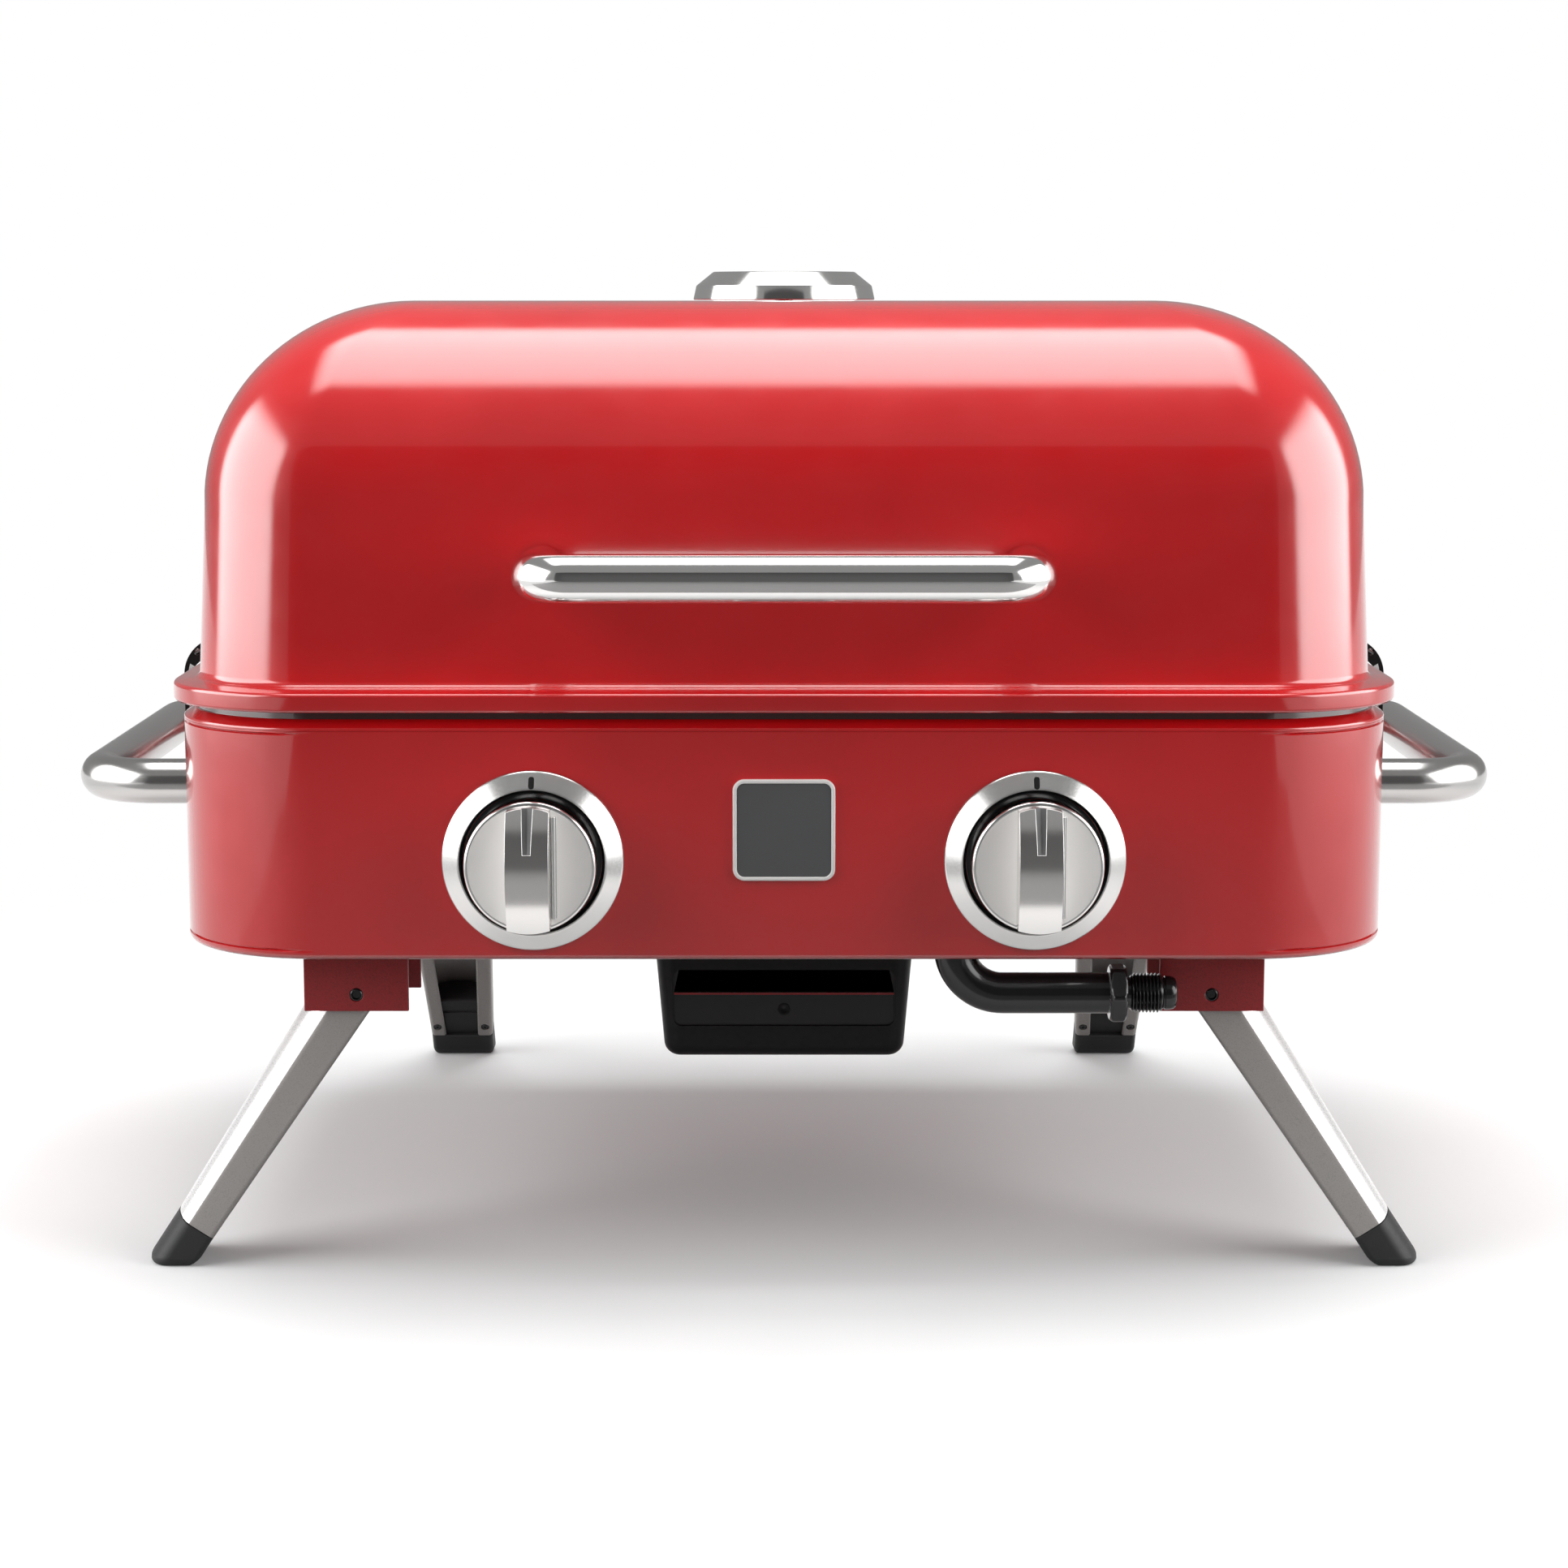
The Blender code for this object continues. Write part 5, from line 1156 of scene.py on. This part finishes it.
def latch_claw(side, base, reach, half):
    """A latch's claw: a bent strip over the lid's flange, with a barrel, a slot and pierced cheeks."""
    tip_x = LID_HIGH.x + 0.002
    tip_z = LID_LOW.z + FLANGE_HEIGHT + 0.002 - base.translation.z
    out = reach + 0.012
    rise = 0.0155
    cheek_wide = 0.0016
    path = claw_path(reach, out, tip_x, tip_z, rise)
    points = [Vector(p) for p in path]
    inside = []
    for i, point in enumerate(points):
        along = (points[min(i + 1, len(points) - 1)] - points[max(i - 1, 0)]).normalized()
        inside.append(point + Vector((along.y, -along.x)) * LATCH_SHEET)
    claw = prism(f"latch_hook_{side}", [tuple(p) for p in points + inside[::-1]], -half, half)
    pivot = shift((reach, 0, 0)) @ FACE_FRONT
    combine(claw, bored(0.0045, half - 0.0002, 40, pivot), "UNION")
    combine(claw, bored(0.0023, 0.02, 24, pivot))
    slot = loft("slot", [rounded(0.0065, 0.0045, 0.002, z, steps=5) for z in (-0.02, 0.02)])
    combine(claw, moved(slot, shift((out, 0, 0.016)) @ FACE_RIGHT))
    over = tip_z - 0.0008
    near = tip_x + 0.0006
    outline = [p for p in path if p[1] > tip_z - rise * 0.75]
    outline += [(near, over), (near + 0.001, over - 0.0004), (out - 0.003, over - rise * 0.7)]
    for start in (-half, half - cheek_wide):
        combine(claw, prism("cheek", outline, start, start + cheek_wide), "UNION")
    combine(claw, bored(0.0016, 0.02, 20, shift((out - 0.0042, 0, tip_z - 0.0048)) @ FACE_FRONT))
    dress(moved(claw, base), f"latch_{side}", BLACK, "black_metal", f"latch_claw_{side}", bevel=0.0004)


def latches():
    """The side latches."""
    for side, sign in SIDES.items():
        low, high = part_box(f"latch_claw_{side}")
        half = (high.y - low.y) / 2
        x, y, z = Vector(JOINTS[f"latch_swing_{side}"]["pos_m"])
        base = shift((0, y, z))
        if sign < 0:
            base = base @ HALF_TURN
        latch_seat(side, base, HALF_WIDTH + GAP, abs(x), half + GAP)
        latch_claw(side, base, abs(x), half)


# ---- what is kept from CAD

def kept_nodes():
    """Gives each CAD node that stays visible its material and soft edges."""
    finishes = {
        "gas_manifold": STEEL, "gauge_stem": STEEL, "valve": BRASS, "valve_stem": BRASS, "spring_seat": STEEL,
        "burner": STEEL, "heat_tent": STEEL, "igniter": CERAMIC, "grate": IRON,
        "hinge_lower": STEEL, "hinge_upper": STEEL,
    }
    for name, node in frame["nodes"].items():
        kind = name
        for ending in ("_left", "_right"):
            kind = kind.removesuffix(ending)
        if kind not in finishes:
            continue
        node.data.materials.clear()
        node.data.materials.append(finishes[kind])
        soften(node, 0.0004)


# ---- studio, camera

def aimed(thing, at, towards):
    """Puts a thing at a place and turns its -Z towards another."""
    thing.location = at
    thing.rotation_euler = (Vector(towards) - Vector(at)).to_track_quat("-Z", "Y").to_euler()
    return thing


def lamp(name, at, towards, size, strength):
    """A soft rectangular lamp whose surface has the given brightness. Gloss shows the cards instead."""
    data = bpy.data.lights.new(name, "AREA")
    data.shape = "RECTANGLE"
    data.size, data.size_y = size
    data.energy = strength * size[0] * size[1] * math.pi
    thing = aimed(bpy.data.objects.new(name, data), at, towards)
    thing.visible_camera = False
    thing.visible_glossy = False
    bpy.context.scene.collection.objects.link(thing)


def only_in_gloss(thing):
    """Lets a studio card show in reflections alone."""
    thing.visible_camera = False
    thing.visible_diffuse = False
    thing.visible_shadow = False
    thing.visible_transmission = False


def worked(tree, operation, *values):
    """A field made from others by one operation."""
    node = tree.nodes.new("ShaderNodeMath")
    node.operation = operation
    for i, value in enumerate(values):
        tree.links.new(value, node.inputs[i])
    return node.outputs[0]


def any_of(tree, *sockets):
    """The largest of several fields."""
    result = sockets[0]
    for socket in sockets[1:]:
        result = worked(tree, "MAXIMUM", result, socket)
    return result


def blended(tree, part, low, high):
    """A shader between two others."""
    node = tree.nodes.new("ShaderNodeMixShader")
    for i, value in enumerate((part, low, high)):
        tree.links.new(value, node.inputs[i])
    return node.outputs[0]


def card(name, at, towards, size, brightness, soft):
    """A bright card with soft edges, as a soft box shows in polished metal and enamel."""
    halves = size[0] / 2, size[1] / 2
    material = bpy.data.materials.new(name)
    material.use_nodes = True
    tree = material.node_tree
    tree.nodes.clear()
    output = tree.nodes.new("ShaderNodeOutputMaterial")
    glow = tree.nodes.new("ShaderNodeEmission")
    glow.inputs["Strength"].default_value = brightness
    where = tree.nodes.new("ShaderNodeTexCoord")
    split = tree.nodes.new("ShaderNodeSeparateXYZ")
    tree.links.new(where.outputs["Object"], split.inputs["Vector"])
    fades = []
    for axis, half in zip("XY", halves):
        away = worked(tree, "ABSOLUTE", split.outputs[axis])
        fades.append(ranged(tree, away, 1.0, 0.0, half - soft, half, "SMOOTHSTEP"))
    clear = tree.nodes.new("ShaderNodeBsdfTransparent")
    lit = blended(tree, worked(tree, "MULTIPLY", *fades), clear.outputs[0], glow.outputs[0])
    tree.links.new(lit, output.inputs["Surface"])
    thing = loft(name, [rounded(*halves, 0.1, z, steps=4) for z in (0.0, 0.001)])
    thing.data.materials.append(material)
    only_in_gloss(aimed(thing, at, towards))


def white_world():
    """A white background that lights the object plainly."""
    world = bpy.data.worlds.new("studio")
    bpy.context.scene.world = world
    world.use_nodes = True
    tree = world.node_tree
    tree.nodes.clear()
    output = tree.nodes.new("ShaderNodeOutputWorld")
    shades = []
    for strength in (WORLD_LIGHT, 1.0):
        shade = tree.nodes.new("ShaderNodeBackground")
        shade.inputs["Color"].default_value = (1.0, 1.0, 1.0, 1.0)
        shade.inputs["Strength"].default_value = strength
        shades.append(shade.outputs[0])
    path = tree.nodes.new("ShaderNodeLightPath")
    seen = any_of(tree, path.outputs["Is Camera Ray"], path.outputs["Is Transmission Ray"])
    tree.links.new(blended(tree, seen, *shades), output.inputs[0])


def white_floor():
    """A floor that keeps the object's shadow and turns to plain white away from it. Near the grill its colour
    is painted darker and cyan, a painted shade that deepens the shadow and cancels the red bounce light.
    """
    material, tree, shader = new_material("floor")
    shader.inputs["Roughness"].default_value = 0.9
    where = tree.nodes.new("ShaderNodeTexCoord")
    length = tree.nodes.new("ShaderNodeVectorMath")
    length.operation = "LENGTH"
    tree.links.new(where.outputs["Object"], length.inputs[0])
    away = length.outputs["Value"]
    # Painted shade: darker, cyan floor colour near the grill, fading to plain grey further out.
    tint = mixed(tree, ranged(tree, away, 0, 1, *FLOOR_PAINTED_SHADE_AT), FLOOR_NEAR_PAINTED_SHADE, FLOOR_FAR)
    tree.links.new(tint, shader.inputs["Base Color"])
    glow = tree.nodes.new("ShaderNodeEmission")
    glowing = ranged(tree, away, FLOOR_GLOW, 1.0, *FLOOR_GLOW_AT)
    lit = blended(tree, glowing, shader.outputs[0], glow.outputs[0])
    dim = tree.nodes.new("ShaderNodeBsdfDiffuse")
    dim.inputs["Color"].default_value = (*FLOOR_BOUNCE, 1.0)
    path = tree.nodes.new("ShaderNodeLightPath")
    seen = any_of(tree, *(path.outputs[f"Is {kind} Ray"] for kind in ("Camera", "Glossy", "Transmission")))
    tree.links.new(blended(tree, seen, dim.outputs[0], lit), tree.nodes["Material Output"].inputs["Surface"])
    floor = loft("floor", [circle(FLOOR_RADIUS, z, 96) for z in (-0.02, 0.0)])
    floor.data.materials.append(material)


def studio():
    """White floor and world, soft lamps over and beside the grill, and what polished surfaces reflect."""
    white_world()
    white_floor()
    lamp("over", (0, 0.14, 1.60), (0, 0.02, 0), (1.15, 0.95), 5.8)
    for side, sign in SIDES.items():
        lamp(side, (sign * 1.45, -0.55, 0.80), (0, -0.05, 0.25), (1.4, 1.2), 3.9)
    card("card_over", (0, -0.05, 1.62), (0, -0.05, 0), (1.5, 1.30), 5.0, 0.30)
    for side, sign in SIDES.items():
        card(f"card_{side}", (sign * 1.40, -0.50, 0.72), (0, -0.25, 0.30), (2.1, 1.5), 5.8, 0.40)
    dark, _, shader = new_material("flag")
    shader.inputs["Base Color"].default_value = (*FLAG, 1.0)
    shader.inputs["Roughness"].default_value = 1.0
    low = [(-0.95, -2.6), (-0.95, -0.40), (0.95, -0.40), (0.95, -2.6)]
    floor_flag = prism("flag_low", low, 0.001, 0.002, "Z")
    high = [(-1.3, 0.0), (1.3, 0.0), (1.3, 1.9), (-1.3, 1.9)]
    for thing in (floor_flag, prism("flag_high", high, -2.60, -2.61)):
        thing.data.materials.append(dark)
        only_in_gloss(thing)


def camera():
    """The photograph's view."""
    data = bpy.data.cameras.new("camera")
    data.lens = LENS
    data.sensor_width = 36.0
    thing = bpy.data.objects.new("camera", data)
    thing.location = (0, FRONT - CAMERA_DISTANCE, CAMERA_HEIGHT)
    thing.rotation_euler = (CAMERA_TILT, 0, 0)
    bpy.context.scene.collection.objects.link(thing)
    bpy.context.scene.camera = thing


tub()
bowl()
lid()
lid_handle()
gauge()
for which in SIDES:
    bezel(which)
    knob(which)
badge()
side_handles()
legs()
cup()
pipe()
hanger()
latches()
kept_nodes()
studio()
camera()
bpy.context.scene.view_settings.view_transform = "Standard"
